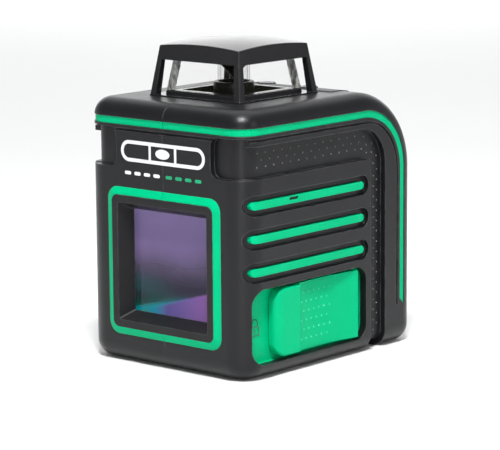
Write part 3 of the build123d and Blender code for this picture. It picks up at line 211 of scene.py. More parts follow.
def clear_glass():
    """Clear glass: see-through when faced, with a mirror-like skin, darker rims and faint smears."""
    n = Nodes("clear_glass")
    tint = (0.30, 0.31, 0.20)
    cover_faced, cover_at_rim, cover_of_smears = 0.006, 0.9, 0.01
    haze = n.span(n.noise(70, 4), 0.5, 0.85, 0.0, cover_of_smears)
    roughness = n.span(n.noise(220, 3), 0.3, 0.8, 0.01, 0.06)
    base = n.mix(n.span(n.noise(90, 3), 0.3, 0.7), tint, tuple(c * 0.9 for c in tint))
    facing = n.node("ShaderNodeLayerWeight")
    facing.inputs["Blend"].default_value = 0.5
    rim = n.math("POWER", facing.outputs["Facing"], 4.0)
    cover = n.math("ADD", n.span(rim, 0.0, 1.0, cover_faced, cover_at_rim), haze, clamp=True)
    return n.finish(n.principled(Base_Color=base, Roughness=roughness, Alpha=cover, Specular_IOR_Level=0.5))


def frosted():
    """The cemented mitres between the panes: grey glue with vertical streaks."""
    n = Nodes("frosted_joint")
    streak = n.noise(900, 5, 0.7, n.stretched((1, 1, 0.22)))
    blot = n.noise(900, 3)
    stops = [(0.36, (0.03, 0.03, 0.03)), (0.5, (0.26, 0.26, 0.25)), (0.64, (0.70, 0.70, 0.68))]
    base = n.ramp(streak, stops)
    base = n.mix(n.span(blot, 0.6, 0.7), base, (0.05, 0.05, 0.05))
    normal = n.bump(streak, 0.0002)
    return n.finish(n.principled(Base_Color=base, Roughness=0.45, Normal=normal))


def window_painted_reflection():
    """The line window: dark glass with a painted reflection, violet above and shading to teal and magenta
    along its foot.
    """
    n = Nodes("coated_glass")
    low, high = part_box("window_glass")
    middle = (low + high) / 2
    across = n.span(n.axis("X"), middle.x - VISIBLE_GLASS, middle.x + VISIBLE_GLASS - 0.002)
    height = n.span(n.axis("Z"), middle.z - VISIBLE_GLASS, middle.z + VISIBLE_GLASS)
    left = n.math("SUBTRACT", 1.0, across)
    wave = n.span(n.noise(40, 2), 0.3, 0.7, -0.04, 0.04)
    fall = n.math("ADD", height, n.math("ADD", wave, n.math("MULTIPLY", left, 0.06)))
    # painted reflection: violet at the top, fading to dark lower down
    painted_reflection = n.ramp(fall, [(0.12, (0.010, 0.012, 0.018)), (0.34, (0.022, 0.020, 0.034)),
                            (0.52, (0.085, 0.068, 0.12)), (0.72, (0.19, 0.14, 0.30)),
                            (0.97, (0.235, 0.175, 0.37))])
    # painted reflection: teal streaks over the lower left
    streaks = n.noise(230, 3, 0.6, n.stretched((0.10, 1, 1), (0, math.radians(14), 0)))
    band = n.math("MULTIPLY", n.span(height, 0.46, 0.16), n.span(left, 0.42, 0.95), clamp=True)
    band = n.math("MULTIPLY", band, n.span(streaks, 0.40, 0.60), clamp=True)
    painted_reflection = n.mix(band, painted_reflection, (0.010, 0.13, 0.11))
    # painted reflection: dark green towards the lower-left corner
    above = n.math("SUBTRACT", height, n.math("MULTIPLY", across, 0.27))
    corner = n.math("MULTIPLY", n.span(above, 0.15, 0.04), n.span(left, 0.35, 0.8), clamp=True)
    painted_reflection = n.mix(corner, painted_reflection, (0.0, 0.060, 0.035))
    # painted reflection: a wedge below a slanting line, teal on the left and violet on the right
    wedge_reflection_stops = [(0.0, (0.0, 0.10, 0.05)), (0.10, (0.0, 0.24, 0.20)), (0.28, (0.0, 0.22, 0.34)),
                   (0.45, (0.09, 0.07, 0.26)), (0.75, (0.15, 0.085, 0.29)), (1.0, (0.22, 0.09, 0.30))]
    wedge_reflection = n.ramp(across, wedge_reflection_stops)
    painted_reflection = n.mix(n.span(above, 0.012, -0.012), painted_reflection, wedge_reflection)
    # painted highlight: a bright cyan line along the wedge's top edge, fading to the right
    line = n.math("MULTIPLY", n.span(above, 0.055, 0.0), n.span(above, -0.03, 0.0), clamp=True)
    line = n.math("MULTIPLY", line, n.span(across, 0.8, 0.1), clamp=True)
    painted_reflection = n.mix(line, painted_reflection, (0.0, 0.26, 0.30))
    dust = n.span(n.noise(1500, 2), 0.71, 0.8, 0.0, 0.2)
    painted_reflection = n.mix(dust, painted_reflection, (0.3, 0.3, 0.34))
    smear = n.span(n.noise(80, 4), 0.3, 0.8, 0.03, 0.1)
    shader = n.principled(Base_Color=painted_reflection, Roughness=smear, Alpha=0.8, Specular_IOR_Level=0.3)
    shader.inputs["Specular Tint"].default_value = (0.7, 0.6, 1.0, 1.0)
    return n.finish(shader)


def circuit():
    """Solder mask with copper tracks under it."""
    n = Nodes("circuit_board")
    grid = n.node("ShaderNodeTexBrick")
    n.link(n.stretched((260, 260, 260), (0.4, 0.2, 0.0)), grid.inputs["Vector"])
    grid.inputs["Color1"].default_value = (0.012, 0.13, 0.05, 1)
    grid.inputs["Color2"].default_value = (0.016, 0.17, 0.065, 1)
    grid.inputs["Mortar"].default_value = (0.05, 0.3, 0.1, 1)
    grid.inputs["Scale"].default_value = 1.0
    base = n.mix(n.span(n.noise(300, 3), 0.3, 0.7, 0.0, 0.5), grid.outputs["Color"], (0.01, 0.1, 0.04))
    normal = n.bump(grid.outputs["Fac"], 0.00004)
    return n.finish(n.principled(Base_Color=base, Roughness=0.32, Normal=normal))


def cell_sleeve():
    """Shrink sleeve of a cell: a dark body with a copper-coloured end band."""
    n = Nodes("cell_wrap")
    low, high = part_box("cell_2")
    place = n.span(n.axis("Z"), low.z, high.z)
    base = n.ramp(place, [(0.0, (0.55, 0.55, 0.56)), (0.05, (0.02, 0.02, 0.024)), (0.72, (0.03, 0.03, 0.034)),
                          (0.74, (0.5, 0.24, 0.08)), (0.96, (0.52, 0.26, 0.1))])
    base = n.mix(n.span(n.noise(200, 3), 0.55, 0.8, 0.0, 0.3), base, (0.2, 0.2, 0.2))
    normal = n.bump(n.noise(500, 3), 0.00003)
    return n.finish(n.principled(Base_Color=base, Roughness=0.3, Normal=normal))


RUBBER = (0.0066, 0.0068, 0.0082)
GREEN = (0.0, 0.47, 0.205)
# The lighter edge colours below are partly rubbed wear and partly painted highlight.
finishes = {
    "rubber_black": moulded(
        "rubber_black", RUBBER, dark=(0.0048, 0.0050, 0.0062), rough=0.33, grain=3800, grain_depth=0.00003,
        edge_wear_and_highlight_colour=(0.07, 0.07, 0.077), round_edge=0.0004, sheen=0.02, specular=0.32),
    "abs_green": moulded(
        "abs_green", GREEN, dark=(0.0, 0.43, 0.185), rough=0.34, grain=2600, grain_depth=0.000006,
        edge_wear_and_highlight_colour=(0.0, 0.50, 0.23), specular=0.06),
    "plastic_gloss_black": moulded(
        "plastic_gloss_black", (0.012, 0.012, 0.013), dark=(0.009, 0.009, 0.01), rough=0.2, grain=1800,
        grain_depth=0.000003, edge_wear_and_highlight_colour=(0.05, 0.05, 0.052), round_edge=0.0002, coat=0.2, specular=0.32),
    "plastic_black": moulded(
        "plastic_black", (0.012, 0.012, 0.013), dark=(0.008, 0.008, 0.009), rough=0.45, grain=3000,
        grain_depth=0.00002, edge_wear_and_highlight_colour=(0.13, 0.13, 0.135), specular=0.3),
    "rubber_seal": moulded(
        "rubber_seal", (0.016, 0.016, 0.016), dark=(0.011, 0.011, 0.011), rough=0.6, grain=2500,
        grain_depth=0.00002),
    # the window's finish: dark glass with a painted reflection
    "coated_glass": window_painted_reflection(),
    "clear_glass": clear_glass(),
    "frosted_joint": frosted(),
    "mirror_metal": metal("mirror_metal", (0.03, 0.03, 0.031), rough=0.1, brush=(1, 1, 8), brush_scale=700,
                          depth=0.000002),
    "black_metal": metal("black_metal", (0.02, 0.02, 0.022), rough=0.32, brush=(1, 1, 12), brush_scale=500),
    "brass": metal("brass", (0.72, 0.5, 0.22), rough=0.28, brush=(1, 1, 10), tarnish=(0.5, 0.3, 0.11)),
    "zinc_cast": metal("zinc_cast", (0.42, 0.42, 0.43), rough=0.5, brush_scale=1600, depth=0.00003),
    "aluminium": metal("aluminium", (0.76, 0.77, 0.79), rough=0.3, brush=(12, 1, 1)),
    "steel": metal("steel", (0.56, 0.56, 0.57), rough=0.26, brush=(1, 10, 1)),
    "magnet_nickel": metal("magnet_nickel", (0.62, 0.61, 0.58), rough=0.14),
    "circuit_board": circuit(),
    "chip_black": moulded(
        "chip_black", (0.02, 0.02, 0.021), dark=(0.015, 0.015, 0.015), rough=0.5, grain=4500,
        grain_depth=0.000015),
    "cell_wrap": cell_sleeve(),
    "label_grey": moulded(
        "label_grey", (0.52, 0.53, 0.54), dark=(0.46, 0.47, 0.48), rough=0.4, grain=3200,
        grain_depth=0.000008, edge_wear_and_highlight_colour=(0.7, 0.7, 0.7)),
    "keypad_grey": moulded(
        "keypad_grey", (0.05, 0.05, 0.054), dark=(0.038, 0.038, 0.041), rough=0.46, grain=3400,
        grain_depth=0.000018, edge_wear_and_highlight_colour=(0.12, 0.12, 0.12)),
    "smoked_plastic": moulded(
        "smoked_plastic", (0.003, 0.003, 0.003), dark=(0.002, 0.002, 0.002), rough=0.12, grain=900,
        grain_depth=0.000002, specular=0.3),
    # lighter than the rubber: a painted highlight, standing in for the glints on the grip studs
    "stud_rubber_painted_highlight": moulded(
        "stud_rubber_painted_highlight", (0.11, 0.11, 0.115), dark=(0.08, 0.08, 0.084), rough=0.25, grain=3800,
        grain_depth=0.000004),
    # darker green than the shell: painted shade, standing in for the shade in the padlocks' engraved lines
    "icon_green_painted_shade": moulded(
        "icon_green_painted_shade", (0.0, 0.25, 0.10), dark=(0.0, 0.21, 0.085), rough=0.4, grain=3800,
        grain_depth=0.000004),
    # lighter than the green shell: a painted highlight, standing in for the glints on the slider studs
    "stud_green_painted_highlight": moulded(
        "stud_green_painted_highlight", (0.05, 0.72, 0.42), dark=(0.02, 0.62, 0.34), rough=0.2, grain=3800,
        grain_depth=0.000004),
}
slot_of = {part["node"]: part["material_slot"] for part in frame["record"]["subparts"]}
for name, piece in frame["nodes"].items():
    piece.data.materials.clear()
    piece.data.materials.append(finishes[slot_of[name]])


# ---------------------------------------------------------------- shape helpers
def new_piece(name, mesh_maker, material, body):
    """A piece of its own, made by mesh_maker, which rides on a body and stands under a material slot."""
    mesh = bpy.data.meshes.new(name)
    built = bmesh.new()
    mesh_maker(built)
    bmesh.ops.recalc_face_normals(built, faces=built.faces)
    built.to_mesh(mesh)
    built.free()
    piece = bpy.data.objects.new(name, mesh)
    bpy.context.scene.collection.objects.link(piece)
    mesh.materials.append(material)
    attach(piece, body)
    return piece


def basis(origin, right, up):
    """A frame on a face: local x along right, y along up, z out of the face."""
    right, up = Vector(right), Vector(up)
    out = right.cross(up)
    turn = Matrix((right, up, out)).transposed().to_4x4()
    return Matrix.Translation(Vector(origin)) @ turn


def inward_at(outline, i):
    """The unit direction into an anticlockwise outline at its point i."""
    before = Vector(outline[i - 1]) - Vector(outline[i])
    after = Vector(outline[(i + 1) % len(outline)]) - Vector(outline[i])
    middle = before.normalized() + after.normalized()
    if middle.length < 1e-6:  # the point lies on a straight run
        return Vector((-after.y, after.x)).normalized()
    is_convex = before.x * after.y - before.y * after.x < 0
    return middle.normalized() * (1 if is_convex else -1)


def slab(built, outline, place, bottom, top, chamfer):
    """A raised plate with a chamfered top edge. The outline runs anticlockwise, in metres on the face."""
    rings = []
    for height, inset in ((bottom, 0.0), (top - chamfer, 0.0), (top, chamfer)):
        ring = []
        for i, point in enumerate(outline):
            spot = Vector(point) + inward_at(outline, i) * inset
            ring.append(built.verts.new(place @ Vector((spot.x, spot.y, height))))
        rings.append(ring)
    for lower, upper in zip(rings, rings[1:]):
        for i in range(len(lower)):
            j = (i + 1) % len(lower)
            built.faces.new((lower[i], lower[j], upper[j], upper[i]))
    built.faces.new(rings[-1])
    built.faces.new(list(reversed(rings[0])))


def disc_outline(x, y, radius, count=24, stretch=1.0):
    return [(x + radius * math.cos(2 * math.pi * i / count),
             y + stretch * radius * math.sin(2 * math.pi * i / count)) for i in range(count)]


def rounded_outline(x0, y0, x1, y1, radius, steps=6):
    corners = ((x1 - radius, y1 - radius, 0), (x0 + radius, y1 - radius, 90),
               (x0 + radius, y0 + radius, 180), (x1 - radius, y0 + radius, 270))
    points = []
    for cx, cy, start in corners:
        for k in range(steps + 1):
            angle = math.radians(start + 90 * k / steps)
            points.append((cx + radius * math.cos(angle), cy + radius * math.sin(angle)))
    return points


def dome(built, place, x, y, base, radius, rise, rings=3, count=10):
    """A low round stud."""
    loops = []
    for r in range(rings):
        angle = math.pi / 2 * r / rings
        loops.append([built.verts.new(place @ Vector((x + radius * math.cos(angle) * math.cos(a),
                                                      y + radius * math.cos(angle) * math.sin(a),
                                                      base + rise * math.sin(angle))))
                      for a in (2 * math.pi * i / count for i in range(count))])
    top = built.verts.new(place @ Vector((x, y, base + rise)))
    for lower, upper in zip(loops, loops[1:]):
        for i in range(count):
            j = (i + 1) % count
            built.faces.new((lower[i], lower[j], upper[j], upper[i]))
    for i in range(count):
        built.faces.new((loops[-1][i], loops[-1][(i + 1) % count], top))
    built.faces.new(list(reversed(loops[0])))


def smooth(piece, angle=40):
    for face in piece.data.polygons:
        face.use_smooth = True
    piece.data.set_sharp_from_angle(angle=math.radians(angle))


# ---------------------------------------------------------------- surface details
FOOT = 0.05 * MM  # how far a raised mark's foot sinks into its face
CLEAR = 0.01  # how far outside the object a ray starts


def surface(node):
    """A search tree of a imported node's faces."""
    mesh = frame["nodes"][node].data
    return BVHTree.FromPolygons([v.co for v in mesh.vertices], [tuple(p.vertices) for p in mesh.polygons])


def foot_on(tree, start, direction):
    """Where a ray from start meets the CAD surface, and its normal, or None."""
    spot, normal, _, _ = tree.ray_cast(Vector(start), Vector(direction))
    return (spot, normal) if spot is not None else None


def stud_field(name, node, spots, direction, radius, rise, material, body, squareness=0.97):
    """Small raised studs, each set on the surface the ray finds, where it faces the ray squarely."""
    tree = surface(node)
    toward = Vector(direction)

    def build(built):
        for start in spots:
            found = foot_on(tree, start, toward)
            if found is None or found[1].dot(toward) > -squareness:
                continue
            spot, normal = found
            side = normal.cross(Vector((0, 0, 1)) if abs(normal.z) < 0.9 else Vector((0, 1, 0))).normalized()
            dome(built, basis(spot, side, normal.cross(side)), 0, 0, -FOOT, radius, rise)

    smooth(new_piece(name, build, material, body))


skin_low, skin_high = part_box("skin_right")
GRIP_ROW_Z = 69.0 * MM
GRIP_ROW_STEP = 2.2 * MM
GRIP_COLUMN_STEP = 1.75 * MM
GRIP_BEND = 8.0 * MM
GRIP_COLUMN_Y = 23.1 * MM
GRIP_PITCH = 4.0 * MM
GRIP_COLUMN_PITCH = 3.4 * MM
GRIP_FRONT = -34.5 * MM
GRIP_FOOT = 5.5 * MM
GRIP_STUD_R = 0.34 * MM
GRIP_STUD_RISE = 0.26 * MM


def grip_spots(side):
    """Three staggered lines of studs along the channel, round its bend and down behind the panel."""
    bend_y = GRIP_COLUMN_Y - GRIP_BEND
    bend_z = GRIP_ROW_Z - GRIP_BEND
    straight = bend_y - GRIP_FRONT
    turn = GRIP_BEND * math.pi / 2
    x = side * (skin_high.x + CLEAR)
    spots = []
    travelled = 0.0
    end = straight + turn + bend_z - GRIP_FOOT
    while travelled < end:
        for row in (-1, 0, 1):
            along = travelled + (0.5 * GRIP_PITCH if row == 0 else 0.0)
            if along <= straight:
                spots.append((x, GRIP_FRONT + along, GRIP_ROW_Z + row * GRIP_ROW_STEP))
            elif along <= straight + turn:
                angle = (along - straight) / GRIP_BEND
                share = angle / (math.pi / 2)
                reach = GRIP_BEND + row * (GRIP_ROW_STEP + share * (GRIP_COLUMN_STEP - GRIP_ROW_STEP))
                spots.append((x, bend_y + reach * math.sin(angle), bend_z + reach * math.cos(angle)))
            else:
                down = along - straight - turn
                spots.append((x, GRIP_COLUMN_Y + row * GRIP_COLUMN_STEP, bend_z - down))
        travelled += GRIP_PITCH if travelled < straight + turn else GRIP_COLUMN_PITCH
    return spots


for side, half in ((1, "right"), (-1, "left")):
    stud_field(f"grip_studs_{half}", f"skin_{half}", grip_spots(side), (-side, 0, 0), GRIP_STUD_R,
               GRIP_STUD_RISE, finishes["stud_rubber_painted_highlight"], "casing")

slider_low, slider_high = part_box("lock_slider")
DISH_ROWS = 6
DISH_FRONT = 13.6 * MM  # from the slider's front end to the first stud
DISH_BOTTOM = 3.6 * MM
DISH_STEP_Y = 2.6 * MM
DISH_STEP_Z = 3.0 * MM
DISH_STUD_R = 0.32 * MM
DISH_STUD_RISE = 0.2 * MM
dish_spots = []
for row in range(DISH_ROWS):
    for column in range(DISH_ROWS):
        y = slider_low.y + DISH_FRONT + DISH_STEP_Y * (column + (0.5 if row % 2 else 0))
        z = slider_low.z + DISH_BOTTOM + DISH_STEP_Z * row
        dish_spots.append((slider_high.x + CLEAR, y, z))
stud_field("slider_studs", "lock_slider", dish_spots, (-1, 0, 0), DISH_STUD_R, DISH_STUD_RISE,
           finishes["stud_green_painted_highlight"], "slider", squareness=0.9)


def strip(built, place, points, width, bottom, top):
    """A raised line of even width through points on a face. Its runs overlap a little at the corners."""
    overlap = width * 0.12
    chamfer = min(width, top - bottom) * 0.2
    for start, stop in zip(points, points[1:]):
        a, b = Vector(start), Vector(stop)
        along = (b - a).normalized()
        across = Vector((-along.y, along.x)) * width / 2
        a, b = a - along * overlap, b + along * overlap
        outline = [tuple(a - across), tuple(b - across), tuple(b + across), tuple(a + across)]
        slab(built, outline, place, bottom, top, chamfer)


def ring_mark(built, place, outline, width, bottom, top):
    """A raised closed line: the band between an outline and its copy moved inward by width."""
    count = len(outline)
    inner = []
    for i in range(count):
        before = (Vector(outline[i]) - Vector(outline[i - 1])).normalized()
        after = (Vector(outline[(i + 1) % count]) - Vector(outline[i])).normalized()
        inward = Vector((-(before.y + after.y), before.x + after.x)).normalized()
        inner.append(Vector(outline[i]) + inward * width)
    loops = []
    for ring, height in ((outline, bottom), (outline, top), (inner, top), (inner, bottom)):
        loops.append([built.verts.new(place @ Vector((p[0], p[1], height))) for p in ring])
    for a, b in zip(loops, loops[1:] + loops[:1]):
        for i in range(count):
            j = (i + 1) % count
            built.faces.new((a[i], a[j], b[j], b[i]))


ICON_SCALE = 1.25
ICON_RISE = 0.16 * MM
ICON_LINE = 0.42 * MM
LOCK_HALF = 1.7 * MM
LOCK_BOTTOM = -2.3 * MM
LOCK_TOP = 0.3 * MM
LOCK_CORNER = 0.5 * MM
KEYHOLE_Y = -1.0 * MM
SHACKLE_R = 1.05 * MM
SHACKLE_Y = 0.9 * MM
SHACKLE_FOOT = 0.35 * MM
SHACKLE_LIFT = 0.9 * MM
SHACKLE_FREE_END = 1.2 * MM
ICON_AHEAD = 6.4 * MM  # from the slider's front end to the shut padlock
ICON_BEHIND = 2.4 * MM  # from its rear end, inward, to the open padlock
ICON_HEIGHT = 10.5 * MM
RIGHTWARD = ((0, 1, 0), (0, 0, 1))  # reading directions on the right side face
shell_tree = surface("shell_right")


def padlock(built, place, opened):
    """A generic padlock: a rounded body with a keyhole stud, and a shackle that is shut or swung up."""
    body = rounded_outline(-LOCK_HALF, LOCK_BOTTOM, LOCK_HALF, LOCK_TOP, LOCK_CORNER)
    ring_mark(built, place, body, ICON_LINE, -FOOT, ICON_RISE)
    slab(built, disc_outline(0, KEYHOLE_Y, ICON_LINE, 14), place, -FOOT, ICON_RISE, ICON_RISE / 4)
    arc_y = SHACKLE_Y + (SHACKLE_LIFT if opened else 0.0)
    arc = [(SHACKLE_R * math.cos(math.radians(t)), arc_y + SHACKLE_R * math.sin(math.radians(t)))
           for t in range(0, 181, 15)]
    first = (SHACKLE_R, SHACKLE_FREE_END if opened else SHACKLE_FOOT)
    strip(built, place, [first, *arc, (-SHACKLE_R, SHACKLE_FOOT)], ICON_LINE, -FOOT, ICON_RISE)


def padlock_icon(name, opened, y):
    """A padlock on the floor of the slider's recess."""
    start = (slider_high.x + CLEAR, y, slider_low.z + ICON_HEIGHT)
    floor_spot = foot_on(shell_tree, start, (-1, 0, 0))[0]
    place = basis(floor_spot, *RIGHTWARD) @ Matrix.Scale(ICON_SCALE, 4)
    piece = new_piece(name, lambda built: padlock(built, place, opened), finishes["icon_green_painted_shade"], "casing")
    smooth(piece, 30)


padlock_icon("icon_locked", False, slider_low.y - ICON_AHEAD)
padlock_icon("icon_unlocked", True, slider_high.y - ICON_BEHIND)


# ---------------------------------------------------------------- cement between the panes
pane_low, pane_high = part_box("pane_right")
joint_low, joint_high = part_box("pane_joints")
joint_middle = (joint_low + joint_high) / 2
CEMENT_HALF = 0.15 * MM  # a little wider than the gap, so it bites into the glass on both sides
PANE_THICKNESS = 2.0 * MM
CEMENT_SHY = 0.03 * MM  # kept back from the panes' outer faces
CEMENT_RAGGED = 0.07 * MM
CEMENT_STEPS = 24


def cement(built):
    """Four leaning strips of cement, one in each mitre, with slightly ragged edges."""
    foot_out = (joint_high.x - joint_low.x) / 2
    head_in = pane_low.x - joint_middle.x
    for sx, sy in ((1, 1), (1, -1), (-1, 1), (-1, -1)):
        outward = Vector((sx, sy, 0))
        across = Vector((-sy, sx, 0)).normalized() * CEMENT_HALF
        rings = []
        for k in range(CEMENT_STEPS + 1):
            share = k / CEMENT_STEPS
            height = joint_low.z + share * (joint_high.z - joint_low.z)
            far = foot_out + share * (head_in + PANE_THICKNESS - foot_out)
            ragged = CEMENT_RAGGED * (1 + math.sin(k * 2.3 + sx) * math.cos(k * 1.1 + sy))
            near = far - PANE_THICKNESS + ragged
            outer = far - CEMENT_SHY
            centre = Vector((joint_middle.x, joint_middle.y, height))
            ring = [centre + outward * reach + across * face
                    for reach, face in ((near, -1), (outer, -1), (outer, 1), (near, 1))]
            rings.append([built.verts.new(point) for point in ring])
        for lower, upper in zip(rings, rings[1:]):
            for i in range(4):
                j = (i + 1) % 4
                built.faces.new((lower[i], lower[j], upper[j], upper[i]))
        built.faces.new(rings[0])
        built.faces.new(rings[-1])


cemented = new_piece("pane_cement", cement, finishes["frosted_joint"], "casing")
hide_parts("pane_joints")


# ---------------------------------------------------------------- printed marks
def ink(name, colour, dark):
    """A printed ink, a little uneven in colour and gloss."""
    n = Nodes(name)
    base = n.mix(n.span(n.noise(240, 4), 0.35, 0.7), colour, dark)
    roughness = n.span(n.noise(700, 3), 0.3, 0.7, 0.38, 0.55)
    normal = n.bump(n.cells(3800), 0.00002, 0.6)
    return n.finish(n.principled(Base_Color=base, Roughness=roughness, Normal=normal))


white_ink = ink("white_ink", (0.80, 0.81, 0.84), (0.70, 0.71, 0.74))
green_ink = ink("green_ink", (0.0, 0.36, 0.16), (0.0, 0.30, 0.13))
grey_ink = ink("grey_ink", (0.09, 0.09, 0.095), (0.06, 0.06, 0.065))
INK = 0.05 * MM
INK_CHAMFER = INK * 0.3
FRONT_MARK_Z = 66.6 * MM
VIAL_HALF = 17.8 * MM
VIAL_BOTTOM = -1.2 * MM
VIAL_TOP = 5.6 * MM
VIAL_CORNER = 3.35 * MM
VIAL_LINE = 1.15 * MM
BUBBLE_R = 3.0 * MM
GAUGE_X = 5.4 * MM
GAUGE_TOP = 4.4 * MM
GAUGE_LINE = 0.95 * MM
DASHES = 4
DASH_FIRST = 2.6 * MM
DASH_STEP = 4.1 * MM
DASH_HALF = 1.35 * MM
DASH_BOTTOM = -5.4 * MM
DASH_TOP = -4.3 * MM
DASH_CORNER = 0.5 * MM
front_middle_x = (skin_low.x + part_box("skin_left")[1].x) / 2
front_place = basis((front_middle_x, skin_low.y, FRONT_MARK_Z), (1, 0, 0), (0, 0, 1))


def vial_mark(built):
    """A bubble vial: a capsule outline, two gauge lines and the bubble between them."""
    capsule = rounded_outline(-VIAL_HALF, VIAL_BOTTOM, VIAL_HALF, VIAL_TOP, VIAL_CORNER, 10)
    ring_mark(built, front_place, capsule, VIAL_LINE, -INK, INK)
    bubble = disc_outline(0, (VIAL_BOTTOM + VIAL_TOP) / 2, BUBBLE_R, 40, stretch=0.52)
    slab(built, bubble, front_place, -INK, INK, INK_CHAMFER)
    for x in (-GAUGE_X, GAUGE_X):
        strip(built, front_place, [(x, 0.0), (x, GAUGE_TOP)], GAUGE_LINE, -INK, INK)


def dash_mark(side):
    """A row of dashes under the vial, on one side of the middle."""
    def build(built):
        for k in range(DASHES):
            x = side * (DASH_FIRST + DASH_STEP * k)
            outline = rounded_outline(x - DASH_HALF, DASH_BOTTOM, x + DASH_HALF, DASH_TOP, DASH_CORNER, 4)
            slab(built, outline, front_place, -INK, INK, INK_CHAMFER)
    return build


new_piece("front_mark_vial", vial_mark, white_ink, "casing")
new_piece("front_mark_dashes_left", dash_mark(-1), white_ink, "casing")
new_piece("front_mark_dashes_right", dash_mark(1), green_ink, "casing")


KEY_RING_SHARE = 0.34  # of the key's width
KEY_LINE_SHARE = 1.45  # of the ring's radius
KEY_RING_LINE = 0.3 * MM
KEY_LINE = 0.35 * MM


def line_icon(node, body, upright):
    """The beam a key switches on: a line across a ring, drawn level or plumb."""
    low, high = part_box(node)
    middle = (low + high) / 2
    place = basis((middle.x, middle.y, high.z), (1, 0, 0), (0, 1, 0))
    radius = KEY_RING_SHARE * (high.y - low.y)
    reach = radius * KEY_LINE_SHARE

    def build(built):
        ring_mark(built, place, disc_outline(0, 0, radius, 32), KEY_RING_LINE, -INK, INK)
        ends = ((0, -reach), (0, reach)) if upright else ((-reach, 0), (reach, 0))
        strip(built, place, ends, KEY_LINE, -INK, INK)

    new_piece(f"icon_{node}", build, white_ink, body)


line_icon("button_level", "button_left", False)
line_icon("button_plumb", "button_right", True)

LABEL_MARGIN = 1.2 * MM
LABEL_CORNER = 0.8 * MM
LABEL_INK = INK * 0.6
LABEL_BORDER = 0.3 * MM
LABEL_RING_LINE = 0.35 * MM
LABEL_CROSS_LINE = 0.4 * MM
LABEL_RULE = 0.55 * MM
LABEL_RULES = 4
LABEL_RULE_END = 1.6 * MM
LABEL_LAST_SHORTER = 3 * MM
label_low, label_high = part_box("rating_label")
label_middle = (label_low + label_high) / 2
label_place = basis((label_low.x, label_middle.y, label_middle.z), (0, -1, 0), (0, 0, 1))


def label_marks(built):
    """A border, a cross-line in a ring and plain rules in place of words."""
    w = (label_high.y - label_low.y) / 2 - LABEL_MARGIN
    h = (label_high.z - label_low.z) / 2 - LABEL_MARGIN
    ring_mark(built, label_place, rounded_outline(-w, -h, w, h, LABEL_CORNER), LABEL_BORDER, -INK, LABEL_INK)
    x = -w + h
    arm = h * 0.8
    ring_mark(built, label_place, disc_outline(x, 0, h * 0.55, 36), LABEL_RING_LINE, -INK, LABEL_INK)
    strip(built, label_place, [(x - arm, 0), (x + arm, 0)], LABEL_CROSS_LINE, -INK, LABEL_INK)
    strip(built, label_place, [(x, -arm), (x, arm)], LABEL_CROSS_LINE, -INK, LABEL_INK)
    for k in range(LABEL_RULES):
        z = h * (0.55 - 0.37 * k)
        shorter = LABEL_LAST_SHORTER if k == LABEL_RULES - 1 else 0
        ends = [(x + h * 1.2, z), (w - LABEL_RULE_END - shorter, z)]
        strip(built, label_place, ends, LABEL_RULE, -INK, LABEL_INK)


new_piece("label_marks", label_marks, grey_ink, "casing")

# ---------------------------------------------------------------- camera
# The eye, the three angles and the focal length are rounded results of a least-squares camera fit.
EYE = Vector((0.5293, -0.6105, 0.1840))
AZIMUTH = math.radians(40.975)
PITCH = math.radians(10.061)
ROLL = math.radians(-0.435)
SENSOR_WIDTH = 36.0
FOCAL_LENGTH = 181.0
facing = Vector((-math.sin(AZIMUTH), math.cos(AZIMUTH), 0))
forward = facing * math.cos(PITCH) - Vector((0, 0, math.sin(PITCH)))
level = Vector((math.cos(AZIMUTH), math.sin(AZIMUTH), 0))
upward = level.cross(forward)
rolled = level * math.cos(ROLL) + upward * math.sin(ROLL)
head = rolled.cross(forward)
lens = bpy.data.cameras.new("camera")
lens.sensor_width = SENSOR_WIDTH
lens.lens = FOCAL_LENGTH
lens.clip_start = 0.01
lens.clip_end = 50.0
camera = bpy.data.objects.new("camera", lens)
camera.matrix_world = Matrix.Translation(EYE) @ Matrix((rolled, head, -forward)).transposed().to_4x4()
bpy.context.scene.collection.objects.link(camera)
bpy.context.scene.camera = camera


# ---------------------------------------------------------------- floor and light
FLOOR_HALF = 6


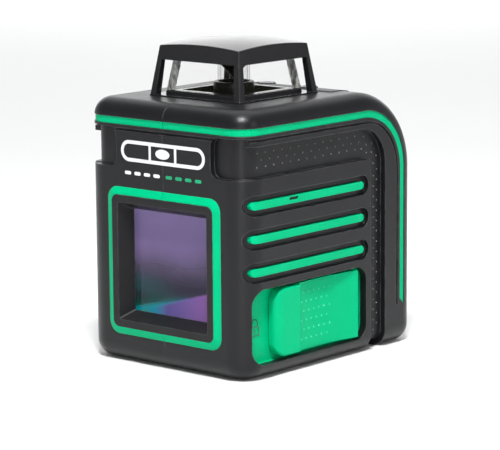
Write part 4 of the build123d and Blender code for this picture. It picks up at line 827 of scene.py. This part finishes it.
def stage_floor():
    """A plain pale floor, wide enough to fill the view from any side."""
    n = Nodes("floor")
    base = n.mix(n.span(n.noise(3, 3), 0.3, 0.7), (0.86, 0.86, 0.86), (0.83, 0.83, 0.83))
    shader = n.principled(Base_Color=base, Roughness=0.65, Specular_IOR_Level=0.2)
    mesh = bpy.data.meshes.new("floor")
    corners = [(x * FLOOR_HALF, y * FLOOR_HALF, 0) for x, y in ((-1, -1), (1, -1), (1, 1), (-1, 1))]
    mesh.from_pydata(corners, [], [(0, 1, 2, 3)])
    mesh.materials.append(n.finish(shader))
    floor = bpy.data.objects.new("floor", mesh)
    bpy.context.scene.collection.objects.link(floor)


def softbox(name, place, target, width, height, watts):
    """A rectangular area light that the camera doesn't see."""
    lamp = bpy.data.lights.new(name, "AREA")
    lamp.shape = "RECTANGLE"
    lamp.size = width
    lamp.size_y = height
    lamp.energy = watts
    holder = bpy.data.objects.new(name, lamp)
    holder.location = place
    holder.rotation_euler = (Vector(target) - Vector(place)).to_track_quat("-Z", "Y").to_euler()
    holder.visible_camera = False
    bpy.context.scene.collection.objects.link(holder)


def studio_world():
    """A pale surround, brighter towards the horizon than overhead."""
    world = bpy.data.worlds.new("studio")
    world.use_nodes = True
    tree = world.node_tree
    background = tree.nodes["Background"]
    background.inputs["Color"].default_value = (0.95, 0.96, 0.98, 1)
    direction = tree.nodes.new("ShaderNodeTexCoord")
    direction_parts = tree.nodes.new("ShaderNodeSeparateXYZ")
    fade = tree.nodes.new("ShaderNodeMapRange")
    for socket, number in (("From Min", 0.06), ("From Max", 0.30), ("To Min", 0.42), ("To Max", 0.26)):
        fade.inputs[socket].default_value = number
    tree.links.new(direction.outputs["Generated"], direction_parts.inputs[0])
    tree.links.new(direction_parts.outputs["Z"], fade.inputs["Value"])
    tree.links.new(fade.outputs["Result"], background.inputs["Strength"])
    bpy.context.scene.world = world


stage_floor()
studio_world()
bpy.context.scene.view_settings.view_transform = "Standard"
softbox("key", (0.24, -0.27, 0.66), (0, -0.01, 0.06), width=0.14, height=0.14, watts=6.5)
softbox("top", (-0.5, 0.7, 2.2), (-0.2, 0.2, 0), width=2.6, height=2.6, watts=27)
softbox("side", (0.95, 0.15, 0.45), (0, 0, 0.04), width=0.30, height=0.45, watts=1.0)
softbox("strip", (0.60, -0.82, 0.20), (0, -0.01, 0.05), width=0.16, height=0.5, watts=1.7)
softbox("back", (-0.9, 1.05, 0.45), (0, 0, 0.1), width=1.6, height=0.8, watts=5.0)
